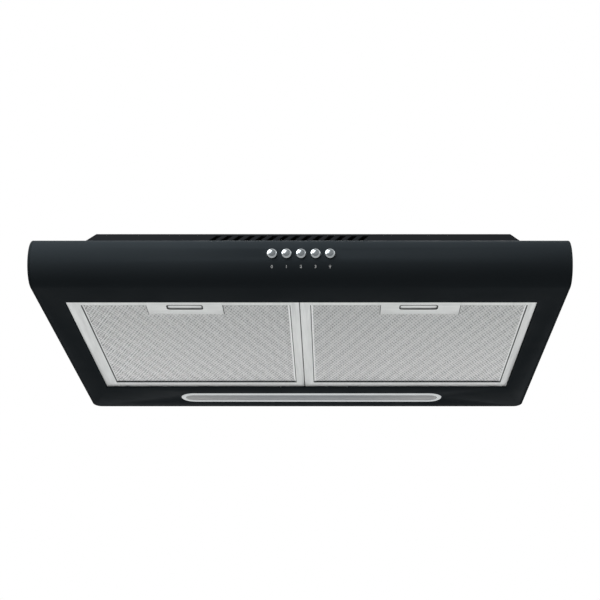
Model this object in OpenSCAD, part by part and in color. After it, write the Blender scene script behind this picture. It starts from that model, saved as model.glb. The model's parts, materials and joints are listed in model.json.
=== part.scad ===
// Under-cabinet range hood: a half-round visor in front of a shallow tray, a raised fan housing on top of it,
// two grease filters that swing down, a light bar behind them and a centrifugal fan inside. Millimetres.
// Pieces are drawn with X to the right, Y from the front of the nose towards the wall and Z up from the
// underside. place() then puts the origin on the top face, midway between the four cabinet screw holes.

/* [Body] */
// Overall width, end cap to end cap
body_w = 600; // [590:1:640]
// Overall depth, front of the nose to the wall
body_d = 485; // [480:1:540]
// Radius of the half-round nose; the tray is two radii high
nose_r = 27.75; // [26:0.25:32]
// Overall height, underside to the top face
total_h = 115; // [113:0.5:130]
// Thickness of the folded sheet steel
sheet_t = 1; // [0.8:0.1:1.2]
// Thickness of the moulded end caps
cap_t = 3; // [2:0.25:4]
// Outer radius of the two rear corners, seen from above
rear_corner_r = 10.5; // [8:0.5:16]
// How far the end caps wrap on to the back
cap_return = 3; // [2:0.5:6]
// Width of the rims inside the end caps, which the sheets lie on
cap_rim_w = 10; // [6:0.5:12]
// Thickness of those rims
cap_rim_t = 2; // [1.5:0.25:3]
// Depth of the top strip of the visor, behind the nose
visor_top_d = 35; // [33:0.5:38]
// Width of the joggled strip of the deck that laps under the visor
lap_w = 12; // [8:0.5:16]

/* [Fan housing] */
// How far the foot of the raised housing stands in from the ends of the hood
housing_side_in = 24; // [22:0.5:28]
// How far its sides lean in from the foot to the flat top
side_run = 25; // [16:0.5:28]
// Foot of its sloping front, behind the front of the nose
housing_base_y = 66; // [65:0.5:70]
// Top edge of its sloping front, behind the front of the nose
housing_top_y = 141; // [136:1:146]
// Width of the screw flanges around its foot
flange_w = 12; // [10:0.5:13]
// Width of the ledge that the deck leaves inside the housing
deck_ledge_w = 12; // [6:0.5:16]

/* [Vent slots] */
// Number of slanted slots in the sloping front
slot_count = 14; // [10:1:16]
// Distance between neighbouring slots
slot_pitch = 13.65; // [13:0.05:14.5]
// Width of a slot along the hood
slot_w = 7.2; // [5:0.1:7.6]
// Length of a slot down the slope
slot_len = 36.5; // [30:0.5:44]
// Lean of the slots away from the slope's own direction, in degrees
slot_lean = 19; // [15:1:35]
// Distance from the top edge of the slope to the slots
slot_top = 8; // [4.5:0.25:10]
// Middle of the row of slots, from the middle of the hood
slot_x = -19.2; // [-40:0.1:20]
// How far the shutter behind the slots slides
shutter_travel = 6.8; // [5:0.1:7]
// Thickness of the shutter plate
shutter_t = 1; // [0.8:0.1:1.2]

/* [Filters] */
// Width of the black border beside the filters
side_border = 29.5; // [27:0.5:34]
// Front edge of the filter opening, behind the front of the nose
opening_y = 71.5; // [70:0.5:75]
// Height of the folded edge around the opening
opening_edge_h = 14; // [12.5:0.5:18]
// Thickness of a filter cassette
filter_h = 9; // [8:0.5:10]
// How far the filters sit above the underside
filter_recess = 2; // [1.5:0.25:3]
// Clearance of a filter at its sides and front
filter_gap = 1; // [0.8:0.1:1.5]
// Clearance behind a filter
filter_rear_gap = 2.5; // [2.3:0.1:3.5]
// Width of the visible strip of a filter frame
frame_strip_w = 15; // [12:0.5:18]
// Width of its upper strip
frame_top_strip_w = 12; // [8:0.5:15]
// Wall of the filter frame
frame_t = 0.8; // [0.6:0.1:1]
// Thickness of the expanded sheets
mesh_t = 0.5; // [0.4:0.05:0.6]
// Pitch of the folds of the filter core
core_pitch = 9; // [7:0.5:12]
// Pitch of the openings in the expanded sheets
mesh_slit_pitch = 6; // [5:0.25:8]
// Width of those openings
mesh_slit_w = 2.4; // [1.5:0.1:3]
// Width of the two hooks at the rear of a filter
hook_w = 20; // [14:1:26]
// Distance between those hooks
hook_spacing = 180; // [140:5:200]
// How far a hook reaches behind its filter
hook_reach = 7.5; // [5.5:0.25:9]
// Angle to which a filter swings down, in degrees
filter_swing = 65; // [40:1:75]

/* [Filter latches] */
// Width of a latch plate
latch_w = 87.5; // [76:0.5:96]
// Depth of a latch plate behind the front of its filter
latch_d = 45; // [42:0.5:50]
// Length of the finger opening
pill_len = 42; // [38:0.5:46]
// Width of the finger opening
pill_w = 15; // [14:0.25:17]
// Middle of the finger opening, behind the front of the filter
pill_y = 20.3; // [19.5:0.1:22]
// Travel of the latch slider
latch_travel = 4.5; // [3:0.25:5]
// Width of the tongue of the slider
tongue_w = 24; // [18:0.5:30]

/* [Lamp] */
// Length of the light bar over its rim
lamp_len = 358; // [330:1:370]
// Width of the light bar over its rim
lamp_w = 38.3; // [34:0.1:44]
// Width of the polished rim
rim_w = 3.5; // [3:0.25:5]
// How far the rim stands below the underside
rim_drop = 1.5; // [1:0.25:2.5]
// Distance from the filter opening to the light bar
lamp_gap = 20.9; // [12:0.1:22]
// Distance from the light bar to the wall
lamp_wall_gap = 26.8; // [22:0.1:34]
// Middle of the light bar, from the middle of the hood
lamp_x = 6; // [-10:0.5:10]
// Thickness of the lens
lens_t = 2; // [1.5:0.25:2.5]
// Depth of the lamp housing above the underside
lamp_h = 20; // [17:0.5:26]
// Number of light-emitting diodes
led_count = 16; // [12:1:20]

/* [Controls] */
// Diameter of a button
button_d = 11.3; // [9:0.1:12]
// Distance between buttons
button_pitch = 16; // [15.5:0.25:18]
// Height of the buttons above the underside
button_z = 30.5; // [28:0.5:32]
// Middle of the row of buttons, from the middle of the hood
button_x = 1; // [-10:0.5:10]
// How far a button stands out of the nose, at the foot of its dome
button_proud = 2; // [1.5:0.25:3]
// Height of its dome
dome_h = 1.8; // [1:0.1:2.5]
// Travel of a button
button_travel = 3.5; // [2.5:0.25:4]
// Clearance around a button in the nose
button_gap = 0.4; // [0.3:0.05:0.6]
// Side of the square plunger behind a button
plunger_w = 4; // [3:0.25:5]

/* [Fan] */
// Smallest clearance between the scroll and the outlet box
scroll_box_gap = 5; // [4:0.25:6]
// Smallest clearance between the scroll and the side of the housing
scroll_side_gap = 8.5; // [5:0.25:10]
// Middle of the fan, behind the front of the nose
fan_y = 250; // [244:0.5:254]
// Height of the impeller blades
blade_h = 44; // [38:0.5:46]
// Length of a blade
blade_len = 13; // [10:0.5:14]
// Number of blades
blade_count = 36; // [24:1:40]
// Thickness of a blade and of the impeller's plates
blade_t = 1.4; // [1:0.1:1.6]
// Gap between the impeller and the tongue of the scroll
tongue_gap = 7; // [5:0.25:8]
// How much the scroll widens from its tongue to the outlet box
scroll_growth = 28; // [24:0.5:32]
// Wall of the scroll
scroll_t = 1.5; // [1:0.1:2]
// Gap between the scroll and the top of the housing
scroll_drop = 7; // [6.5:0.25:9]
// Height of the scroll
scroll_h = 62; // [58:0.5:64]
// How far the rim of the air inlet stands in from the blades
inlet_in = 2; // [1:0.25:6]
// Gap between the blades and the cup over the motor
cup_blade_gap = 10.6; // [9:0.1:14]
// Height of the motor
motor_h = 34; // [28:0.5:36]
// Radius of the motor shaft
shaft_r = 4; // [3:0.25:5]
// Running clearance around the shaft
shaft_gap = 0.05; // [0.02:0.01:0.1]

/* [Outlet] */
// Outer radius of the duct collar
collar_r = 59.5; // [58:0.5:60]
// Wall of the duct collar
collar_t = 2; // [1.5:0.25:2.5]
// Height of the collar above its flange
collar_h = 33; // [28:0.5:40]
// Width of the collar's flange
collar_flange_w = 11; // [9.5:0.5:14]
// Thickness of the collar's flange
collar_flange_t = 2; // [1.5:0.25:3]
// Middle of the collar, behind the front of the nose
collar_y = 335; // [332:1:340]
// Thickness of the damper flaps
flap_t = 1; // [0.8:0.1:1.5]
// Radius of the pin that carries the damper flaps
pin_r = 1.5; // [1.25:0.05:2]
// Width of the box under the collar
box_w = 136; // [132:1:138]
// Depth of the box under the collar
box_d = 146; // [134:1:150]
// Wall of the box
box_t = 1.5; // [1:0.1:2]
// Height of the box
box_h = 68; // [65:0.5:72]

/* [Fixings and wiring] */
// Distance from the cabinet screw holes to the sides of the flat top
cabinet_edge = 21; // [16:1:30]
// Spacing of the cabinet screw holes from front to back
cabinet_dy = 220; // [200:1:230]
// Middle of the cabinet screw holes, behind the front of the nose
cabinet_y = 300; // [295:1:305]
// Radius of the cabinet screw holes
cabinet_hole_r = 3; // [2.5:0.25:3.5]
// Spacing of the two wall screw holes
wall_dx = 360; // [320:1:400]
// Height of the wall screw holes above the underside
wall_z = 88; // [80:1:95]
// Radius of the wall screw holes
wall_hole_r = 4; // [3:0.25:5]
// Radius of the shank of the housing screws
screw_r = 1.9; // [1.5:0.1:2.2]
// Radius of the bore of the cable gland
gland_bore_r = 4; // [3:0.25:4.5]
// Radius of the wires inside the hood
wire_r = 2.5; // [1.5:0.25:2.75]

/* [Hidden] */
$fn = 64;

// Paint, metals and plastics
black_paint = "#1d1f20";
bare_metal = "#c9cccc";
bright_metal = "#dfe2e3";
dark_plastic = "#2b2d2f";
grey_plastic = "#8d9193";
fan_plastic = "#3a3d40";
zinc = "#b9bdc0";

eps = 0.01; // overlap that joins solids of one piece
cut = 1;    // how far a cut runs past the face it opens
seat = 0.2; // clearance between pieces that are seated in each other
play = 0.3; // clearance between pieces that move past each other

// Tray
tray_h = 2 * nose_r;
half_w = body_w / 2;
sheet_x = half_w - cap_t;                      // ends of the folded sheets
back_y = body_d - sheet_t;                     // front face of the back panel
corner_x = half_w - rear_corner_r;             // centres of the rear corners
corner_y = body_d - rear_corner_r;
return_x = corner_x - cap_return;              // ends of the back panel
visor_top_y = nose_r + visor_top_d;            // where the visor's top strip ends
deck_z = tray_h - sheet_t;

// Housing
rise = total_h - tray_h;
front_run = housing_top_y - housing_base_y;
housing_base_w = body_w - 2 * housing_side_in;
housing_top_w = housing_base_w - 2 * side_run;
front_angle = atan(rise / front_run);
side_angle = atan(rise / side_run);
top_z = total_h - sheet_t;                     // underside of the top sheet
flange_z = tray_h;                             // underside of the screw flanges

// Where the housing's front and side planes lie at height z, moved in by a distance square to them
function front_y(z, inset = 0) = housing_base_y + inset / sin(front_angle) + (z - tray_h) * front_run / rise;
function side_x(z, inset = 0) = housing_base_w / 2 - inset / sin(side_angle) - (z - tray_h) * side_run / rise;

// Vent slots and their shutter, measured down the slope
slot_shift = slot_len * tan(slot_lean);        // how far a slot moves sideways over its length
slots_w = (slot_count - 1) * slot_pitch + slot_w + slot_shift;
slots_x0 = slot_x - slots_w / 2;
slot_end = slot_top + slot_len;
shutter_margin = 8;
shutter_x0 = slots_x0 - shutter_margin;
shutter_x1 = slots_x0 + slots_w + shutter_margin;
shutter_s0 = slot_top - 1;
shutter_s1 = slot_end + 4;
rail_w = 2;
rail_lip = 2;
rail_t = 0.8;
rail_depth = sheet_t + play + shutter_t + play; // from the outside of the slope to the rail's lip
tab_w = 14;                                     // tab that carries the shutter's knob
tab_s = [20, 66];
knob_s = 58;
knob_w = 5;
knob_proud = 4;

// Filters
opening_w = body_w - 2 * side_border;
opening_x = opening_w / 2;
opening_back = body_d - lamp_wall_gap - lamp_w - lamp_gap;
filter_w = (opening_w - 3 * filter_gap) / 2;
filter_x = (filter_w + filter_gap) / 2;         // middle of a filter
filter_y0 = opening_y + filter_gap;
filter_y1 = opening_back - filter_rear_gap;
filter_z0 = filter_recess;
filter_z1 = filter_recess + filter_h;
hook_t = 1.2;
hook_z = sheet_t + play;                        // underside of a hook
hook_slot_h = 11;                               // top of the slots that the hooks pass through
mesh_x = filter_w / 2 - frame_t - seat;
mesh_y0 = filter_y0 + frame_t + seat;
mesh_y1 = filter_y1 - frame_t - seat;
low_mesh_z = filter_z0 + frame_t;
high_mesh_z = filter_z1 - frame_t - mesh_t;

// Latches
latch_y1 = filter_y0 + latch_d;
latch_y0 = filter_y0 + frame_t + seat;
pill_mid = filter_y0 + pill_y;
slider_z0 = filter_z0 + frame_t + play;
slider_t = 2;
slider_w = pill_len + 6;
slider_y0 = filter_y0 + 7;
slider_y1 = pill_mid + pill_w / 2 + 4;
grip_w = pill_w - latch_travel - 2 * play - 0.6;
grip_len = pill_len - 2 * play - 2;
grip_y = pill_mid - pill_w / 2 + play + 0.3 + grip_w / 2;
latch_wall_x = slider_w / 2 + play;
latch_wall_t = 1;
latch_wall_y1 = slider_y1 + latch_travel + play;

// Lamp
lamp_y = opening_back + lamp_gap + lamp_w / 2;
lens_len = lamp_len - 2 * rim_w;
lens_w = lamp_w - 2 * rim_w;
rim_skirt_t = 1.2;
skirt_h = 4;                                    // how far the rim's skirt stands above the sheet
tray_flange = 4;
lamp_tray_t = 0.8;
lamp_tray_len = lamp_len - 20;
board_len = lens_len - 50;
board_w = 14;
board_t = 1.2;
led_margin = 10;                                // from the end of the board to the first diode
board_z = lamp_h - lamp_tray_t - board_t;

// Controls
button_count = 5;
cap_skirt = 6;                                  // from the nose back to the cap's collar
nose_y = nose_r - sqrt(pow(nose_r, 2) - pow(button_z - nose_r, 2)); // skin of the nose at the buttons
collar_w = 1.2;
collar_y0 = nose_y + 3.6;
bank_y0 = 17;
bank_y1 = 40;
bank_h = 20;
bank_w = (button_count - 1) * button_pitch + 20;
bank_z0 = button_z - bank_h / 2;
plunger_y1 = bank_y0 + 8;
bracket_t = 1.2;

// Fan
scroll_z1 = total_h - scroll_drop;
scroll_z0 = scroll_z1 - scroll_h;
tongue_angle = 125;
duct_angle = 450;
scroll_steps = 40;

// The fan fills the bay between the outlet box and the side of the housing, to the half millimetre
function half_down(v) = floor(2 * v) / 2;
function grown(a) = scroll_growth * (a - tongue_angle) / (duct_angle - tongue_angle);
bay_x0 = box_w / 2 + scroll_box_gap;
bay_x1 = side_x(scroll_z1, sheet_t) - scroll_side_gap;
impeller_r = half_down((bay_x1 - bay_x0 - grown(180) - grown(360) - scroll_t) / 2 - tongue_gap);
scroll_r0 = impeller_r + tongue_gap;
scroll_r1 = scroll_r0 + scroll_growth;
fan_x = -half_down(-bay_x0 - scroll_r0 - grown(180));
inlet_r = impeller_r - blade_len - inlet_in;
scroll_back = fan_y + scroll_r1;
box_x = box_w / 2;
box_y0 = collar_y - box_d / 2;
box_y1 = collar_y + box_d / 2;
box_z0 = top_z - box_h;
tongue_y = fan_y + scroll_r0 * sin(tongue_angle);
plate_gap = 4;                                  // running gap between the impeller and the scroll
impeller_z1 = scroll_z1 - scroll_t - plate_gap;
impeller_z0 = impeller_z1 - blade_h - 2 * blade_t;
cup_gap = 4;                                    // gap between the motor and the cup around it
cup_r = impeller_r - blade_len - cup_blade_gap;
motor_r = cup_r - blade_t - cup_gap;
motor_z1 = scroll_z1 - scroll_t;
motor_z0 = motor_z1 - motor_h;
cup_z0 = motor_z0 - 4 - blade_t;
hub_r = 9;
hub_h = 6;
shaft_z0 = cup_z0 - hub_h - 6;
nut_h = 5;
bearing_r = 11;
bearing_h = 7;
motor_screw_pcd = 2 * (motor_r - 11);
foot_r = 6;
ring_h = 8;
guard_wire = 1;

// Outlet
collar_z0 = top_z - 9;                          // lower end of the collar, inside the box
collar_bore = collar_r - collar_t;
flap_z = top_z - 3;                             // axis of the damper flaps
flap_r = collar_bore - 1;
flap_swing = 78;
knuckle_r = pin_r + 1.5;
ledge_w = 2.5;
ledge_t = 2;
window_margin = 12;

// Electrics
terminal_w = 80;
terminal_d = 56;
terminal_h = 32;
terminal_wall_gap = 21;                         // from the terminal box to the wall
terminal_side_gap = 26;                         // from the terminal box to the side of the flat top
terminal_x = terminal_side_gap + terminal_w / 2 - housing_top_w / 2;
terminal_y = body_d - terminal_wall_gap - terminal_d / 2;
wall_p = 2;                                     // wall of the plastic boxes
gland_hex = 9;
gland_h = 12;
gland_thread_r = gland_bore_r + 2;
wire_sides = 12;
driver_size = [110, 40, 24];
driver_ear = 8;                                 // length of its two fixing ears
driver_ear_t = 3;
driver_at = [terminal_x - terminal_w / 2, terminal_y - 106];
capacitor_r = 14;
capacitor_len = 50;
capacitor_at = [terminal_x + 45, fan_y - 10];

// Screws: shank along Z at each of these places, with its head above the given height
front_screw_x = housing_base_w / 2 - 76;
side_screw_y0 = housing_base_y + 54;
side_screw_y1 = body_d - 35;
front_screws = [for (f = [-1, -0.35, 0.35, 1]) [f * front_screw_x, housing_base_y - flange_w / 2]];
side_screws = [for (s = [-1, 1], y = [side_screw_y0, (side_screw_y0 + side_screw_y1) / 2, side_screw_y1])
    [s * (housing_base_w + flange_w) / 2, y]];
cabinet_dx = housing_top_w - 2 * cabinet_edge;
collar_screw_r = collar_r + 6;
collar_screws = [for (a = [45 : 90 : 315]) [collar_screw_r * cos(a), collar_y + collar_screw_r * sin(a)]];
screw_len = 6;
screw_head_r = 3.6;
screw_head_h = 2;

// Moves a piece from its drawing place to the origin at the cabinet screws
module place() translate([0, -cabinet_y, -total_h]) children();

// A 2D shape in Y and Z, extruded along X
module along_x(x0, x1) translate([x0, 0, 0]) rotate([90, 0, 90]) linear_extrude(x1 - x0) children();

// A 2D shape in X and Z, extruded along Y
module along_y(y0, y1) translate([0, y1, 0]) rotate([90, 0, 0]) linear_extrude(y1 - y0) children();

// A 2D shape in X and Y, extruded along Z
module along_z(z0, z1) translate([0, 0, z0]) linear_extrude(z1 - z0) children();

// A block between two opposite corners
module block(low, high) translate(low) cube(high - low);

// A round bar along Y
module rod_y(x, z, y0, y1, r) translate([x, y0, z]) rotate([-90, 0, 0]) cylinder(r = r, h = y1 - y0);

// A bar with round ends, len long over all
module stadium(len, w) {
    square([len - w, w], center = true);
    for (s = [-1, 1]) translate([s * (len - w) / 2, 0]) circle(d = w);
}

// Puts its children in the plane of the sloping front: x across, y down the slope, z into the housing
module on_slope() translate([0, housing_top_y, total_h]) rotate([180 + front_angle, 0, 0]) children();

// Left and right copies of a piece drawn on the right
module both_sides() for (s = [0, 1]) mirror([s, 0, 0]) children();

// ---- Tray ----

// The front half of a ring, or of a disc, about the axis of the nose
module nose_arc(r_out, r_in = 0) difference() {
    translate([nose_r, nose_r]) circle(r = r_out);
    if (r_in > 0) translate([nose_r, nose_r]) circle(r = r_in);
    translate([nose_r, -cut]) square([r_out + cut, tray_h + 2 * cut]);
}

// Plan of everything that lies between the end caps
module inner_plan() {
    inner_r = rear_corner_r - cap_t;
    translate([-sheet_x, -cut]) square([2 * sheet_x, corner_y + cut]);
    translate([-corner_x, 0]) square([2 * corner_x, body_d - cap_t]);
    translate([-return_x, 0]) square([2 * return_x, back_y]);
    for (s = [-1, 1]) translate([s * corner_x, corner_y]) circle(r = inner_r);
}

module screw_holes(places, z0, z1) for (p = places)
    translate([p[0], p[1], z0]) cylinder(r = screw_r + seat, h = z1 - z0);

module hook_slots() for (f = [-1, 1], s = [-1, 1])
    translate([f * filter_x + s * hook_spacing / 2 - hook_w / 2 - filter_gap, opening_back - cut, sheet_t])
        cube([hook_w + 2 * filter_gap, sheet_t + 2 * cut, hook_slot_h - sheet_t]);

module visor_shell() color(black_paint) place() difference() {
    union() {
        intersection() {
            along_x(-sheet_x, sheet_x) {
                nose_arc(nose_r, nose_r - sheet_t);
                translate([nose_r, 0]) square([body_d, sheet_t]);
                translate([nose_r, deck_z]) square([visor_top_d, sheet_t]);
            }
            along_z(-cut, tray_h + cut) inner_plan();
        }
        block([-opening_x - sheet_t, opening_y - sheet_t, sheet_t],
              [opening_x + sheet_t, opening_back + sheet_t, opening_edge_h]);
    }
    block([-opening_x, opening_y, -cut], [opening_x, opening_back, opening_edge_h + cut]);
    hook_slots();
    translate([lamp_x, lamp_y, -cut]) linear_extrude(sheet_t + 2 * cut)
        stadium(lens_len + 2 * (rim_skirt_t + seat), lens_w + 2 * (rim_skirt_t + seat));
    for (i = [0 : button_count - 1])
        rod_y(button_at(i), button_z, -cut, nose_y + 8, button_d / 2 + button_gap);
    screw_holes(front_screws, deck_z - cut, tray_h + cut);
}

module end_cap() color(dark_plastic) place() {
    along_x(sheet_x, half_w) {
        nose_arc(nose_r);
        translate([nose_r, 0]) square([corner_y - nose_r, tray_h]);
    }
    intersection() {
        along_z(0, tray_h) difference() {
            translate([corner_x, corner_y]) circle(r = rear_corner_r);
            translate([corner_x, corner_y]) circle(r = rear_corner_r - cap_t);
        }
        block([corner_x, corner_y, 0], [half_w, body_d, tray_h]);
    }
    block([return_x, body_d - cap_t, 0], [corner_x, body_d, tray_h]);
    along_x(sheet_x - cap_rim_w, sheet_x) {
        nose_arc(nose_r - sheet_t - seat, nose_r - sheet_t - seat - cap_rim_t);
        for (z = [sheet_t + seat, deck_z - seat - cap_rim_t])
            translate([nose_r, z]) square([corner_y - nose_r, cap_rim_t]);
    }
}

module left_end_cap() mirror([1, 0, 0]) end_cap();
module right_end_cap() end_cap();

module deck_panel() color(black_paint) place() difference() {
    union() {
        along_z(deck_z, tray_h) difference() {
            inner_plan();
            translate([-half_w, -cut]) square([body_w, visor_top_y + seat + cut]);
        }
        block([-sheet_x + cap_rim_w + 1, visor_top_y - lap_w, deck_z - sheet_t],
              [sheet_x - cap_rim_w - 1, visor_top_y + lap_w, deck_z]);
    }
    block([-side_x(tray_h) + deck_ledge_w, housing_base_y + deck_ledge_w, deck_z - 2 * cut],
          [side_x(tray_h) - deck_ledge_w, back_y - deck_ledge_w, tray_h + cut]);
    screw_holes(concat(front_screws, side_screws), deck_z - 2 * cut, tray_h + cut);
}

// ---- Fan housing ----

// The housing as a solid, its walls moved in by a distance
module housing_solid(inset, z0, y1) intersection() {
    zt = total_h - inset;
    along_x(-half_w, half_w) polygon([
        [front_y(z0, inset), z0], [front_y(zt, inset), zt], [y1, zt], [y1, z0]
    ]);
    along_y(0, y1) polygon([
        [-side_x(z0, inset), z0], [-side_x(zt, inset), zt], [side_x(zt, inset), zt], [side_x(z0, inset), z0]
    ]);
}

// Everything in front of the inner face of the sloping front
module front_slab() along_x(-half_w, half_w) polygon([
    [-cut, tray_h - cut], [front_y(tray_h - cut, sheet_t), tray_h - cut],
    [front_y(total_h + cut, sheet_t), total_h + cut], [-cut, total_h + cut]
]);

// The slanted slots, as cutters from depth z0 to depth z1 in the plane of the slope
module slots(z0, z1) for (i = [0 : slot_count - 1])
    translate([slots_x0 + i * slot_pitch, 0, z0]) linear_extrude(z1 - z0) polygon([
        [slot_shift, slot_top], [slot_shift + slot_w, slot_top], [slot_w, slot_end], [0, slot_end]
    ]);

module housing_front() color(black_paint) place() difference() {
    union() {
        intersection() {
            housing_solid(0, tray_h, body_d);
            front_slab();
        }
        block([-housing_base_w / 2 - flange_w, housing_base_y - flange_w, flange_z],
              [housing_base_w / 2 + flange_w, housing_base_y + sheet_t, flange_z + sheet_t]);
        on_slope() for (rail = [
            [shutter_s0 - seat - rail_w, shutter_s0 - seat - rail_w],
            [shutter_s1 + seat, shutter_s1 + seat - rail_lip]
        ]) {
            block([shutter_x0, rail[0], sheet_t - eps],
                  [shutter_x1 - 2, rail[0] + rail_w, rail_depth + rail_t]);
            block([shutter_x0, rail[1], rail_depth],
                  [shutter_x1 - 2, rail[1] + rail_w + rail_lip, rail_depth + rail_t]);
        }
    }
    on_slope() {
        slots(-cut, sheet_t + play / 2);
        block([shutter_x1 + tab_w / 2 - knob_w / 2 - 1, knob_s - knob_w / 2 - play, -cut],
              [shutter_x1 + tab_w / 2 + knob_w / 2 + shutter_travel + 1, knob_s + knob_w / 2 + play,
               sheet_t + play]);
    }
    screw_holes(front_screws, flange_z - cut, flange_z + 2 * cut);
}

module cabinet_holes() for (sx = [-1, 1], sy = [-1, 1])
    translate([sx * cabinet_dx / 2, cabinet_y + sy * cabinet_dy / 2, top_z - cut])
        cylinder(r = cabinet_hole_r, h = sheet_t + 2 * cut);

module housing_cover() color(black_paint) place() difference() {
    union() {
        difference() {
            housing_solid(0, tray_h, back_y);
            housing_solid(sheet_t, tray_h - cut, body_d);
            front_slab();
        }
        both_sides() difference() {
            block([side_x(tray_h, sheet_t), housing_base_y + 4, flange_z],
                  [housing_base_w / 2 + flange_w, back_y, flange_z + sheet_t]);
            front_slab();
        }
    }
    cabinet_holes();
    translate([0, collar_y, top_z - cut]) cylinder(r = collar_r + seat, h = sheet_t + 2 * cut);
    translate([terminal_x, terminal_y, top_z - cut])
        cylinder(r = gland_thread_r + seat, h = sheet_t + 2 * cut);
    screw_holes(side_screws, flange_z - cut, flange_z + 2 * cut);
    screw_holes(collar_screws, top_z - cut, total_h + cut);
}

module back_panel() color(black_paint) place() difference() {
    along_y(back_y, body_d) polygon([
        [-return_x, 0], [-return_x, tray_h], [-side_x(tray_h), tray_h], [-side_x(total_h), total_h],
        [side_x(total_h), total_h], [side_x(tray_h), tray_h], [return_x, tray_h], [return_x, 0]
    ]);
    for (s = [-1, 1]) rod_y(s * wall_dx / 2, wall_z, back_y - cut, body_d + cut, wall_hole_r);
}

// A pan-head screw with its shank downwards from z
module pan_screw(z) {
    translate([0, 0, z - screw_len]) cylinder(r = screw_r, h = screw_len + eps);
    intersection() {
        translate([0, 0, z]) cylinder(r = screw_head_r, h = screw_head_h);
        translate([0, 0, z + screw_head_h - 6]) sphere(r = 6);
    }
}

module shell_screws() color(zinc) place() {
    for (p = concat(front_screws, side_screws)) translate([p[0], p[1], 0]) pan_screw(flange_z + sheet_t);
    for (p = collar_screws) translate([p[0], p[1], 0]) pan_screw(total_h + collar_flange_t);
}

module vent_shutter() color(dark_plastic) place() on_slope() {
    z0 = sheet_t + play;
    difference() {
        union() {
            block([shutter_x0, shutter_s0, z0], [shutter_x1, shutter_s1, z0 + shutter_t]);
            block([shutter_x1 - eps, tab_s[0], z0], [shutter_x1 + tab_w, tab_s[1], z0 + shutter_t]);
        }
        slots(z0 - cut, z0 + shutter_t + cut);
    }
    block([shutter_x1 + tab_w / 2 - knob_w / 2, knob_s - knob_w / 2, -knob_proud],
          [shutter_x1 + tab_w / 2 + knob_w / 2, knob_s + knob_w / 2, z0 + eps]);
}

// ---- Lamp ----

module at_lamp(z) translate([lamp_x, lamp_y, z]) children();

module lamp_rim() color(bright_metal) place() at_lamp(-rim_drop) difference() {
    union() {
        linear_extrude(rim_drop) stadium(lamp_len, lamp_w);
        linear_extrude(rim_drop + sheet_t + skirt_h)
            stadium(lens_len + 2 * rim_skirt_t, lens_w + 2 * rim_skirt_t);
    }
    translate([0, 0, -cut]) linear_extrude(rim_drop + sheet_t + skirt_h + 2 * cut) stadium(lens_len, lens_w);
}

module lamp_lens() color([0.8, 0.82, 0.83, 0.8]) place() at_lamp(seat - rim_drop + 0.3)
    linear_extrude(lens_t) stadium(lens_len - 2 * seat, lens_w - 2 * seat);

module lamp_tray() color(bare_metal) place() at_lamp(0) {
    tray_w = lens_w + 2 * (rim_skirt_t + seat + lamp_tray_t);
    difference() {
        translate([0, 0, sheet_t]) linear_extrude(lamp_h - sheet_t) stadium(lamp_len, tray_w);
        translate([0, 0, sheet_t - cut]) linear_extrude(lamp_h - sheet_t - lamp_tray_t + cut)
            stadium(lamp_len - 2 * lamp_tray_t, tray_w - 2 * lamp_tray_t);
    }
    translate([0, 0, sheet_t]) linear_extrude(lamp_tray_t) difference() {
        stadium(lamp_len + 2 * tray_flange, tray_w + 2 * tray_flange);
        stadium(lamp_len - 2 * lamp_tray_t, tray_w - 2 * lamp_tray_t);
    }
}

module led_board() color("#e8ebe6") place() at_lamp(board_z)
    translate([-board_len / 2, -board_w / 2, 0]) cube([board_len, board_w, board_t]);

module led_chips() color("#f3e48a") place() at_lamp(board_z) {
    chip = [5, 5, 1.2];
    row_len = board_len - 2 * led_margin;
    for (i = [0 : led_count - 1])
        translate([i * row_len / (led_count - 1) - (row_len + chip[0]) / 2, -chip[1] / 2, -chip[2]])
            cube(chip);
}

module led_driver() color(grey_plastic) place()
    translate([driver_at[0], driver_at[1], top_z - driver_size[2]]) {
        cube(driver_size);
        for (x = [-driver_ear, driver_size[0] - eps])
            translate([x, 0, driver_size[2] - driver_ear_t]) difference() {
                cube([driver_ear + eps, driver_size[1], driver_ear_t]);
                translate([driver_ear / 2, driver_size[1] / 2, -cut])
                    cylinder(r = driver_ear / 4, h = driver_ear_t + 2 * cut);
            }
    }

// ---- Controls ----

function button_at(i) = button_x + (i - (button_count - 1) / 2) * button_pitch;

module button_cap(i) color(bright_metal) place() translate([button_at(i), 0, button_z]) rotate([-90, 0, 0]) {
    r = button_d / 2;
    foot = nose_y - button_proud;
    dome_r = (r * r + dome_h * dome_h) / (2 * dome_h);
    translate([0, 0, foot - eps]) cylinder(r = r, h = collar_y0 + collar_w - foot + eps);
    intersection() {
        translate([0, 0, foot - dome_h + dome_r]) sphere(r = dome_r);
        translate([0, 0, foot - dome_h - cut]) cylinder(r = r, h = dome_h + cut);
    }
    translate([0, 0, collar_y0]) cylinder(r = r + 1.3, h = collar_w);
}

module button_plunger(i) color(dark_plastic) place() block(
    [button_at(i) - plunger_w / 2, collar_y0 + collar_w, button_z - plunger_w / 2],
    [button_at(i) + plunger_w / 2, plunger_y1, button_z + plunger_w / 2]
);

module button_off_cap() button_cap(0);
module button_low_cap() button_cap(1);
module button_medium_cap() button_cap(2);
module button_high_cap() button_cap(3);
module button_lamp_cap() button_cap(4);
module button_off_plunger() button_plunger(0);
module button_low_plunger() button_plunger(1);
module button_medium_plunger() button_plunger(2);
module button_high_plunger() button_plunger(3);
module button_lamp_plunger() button_plunger(4);

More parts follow.
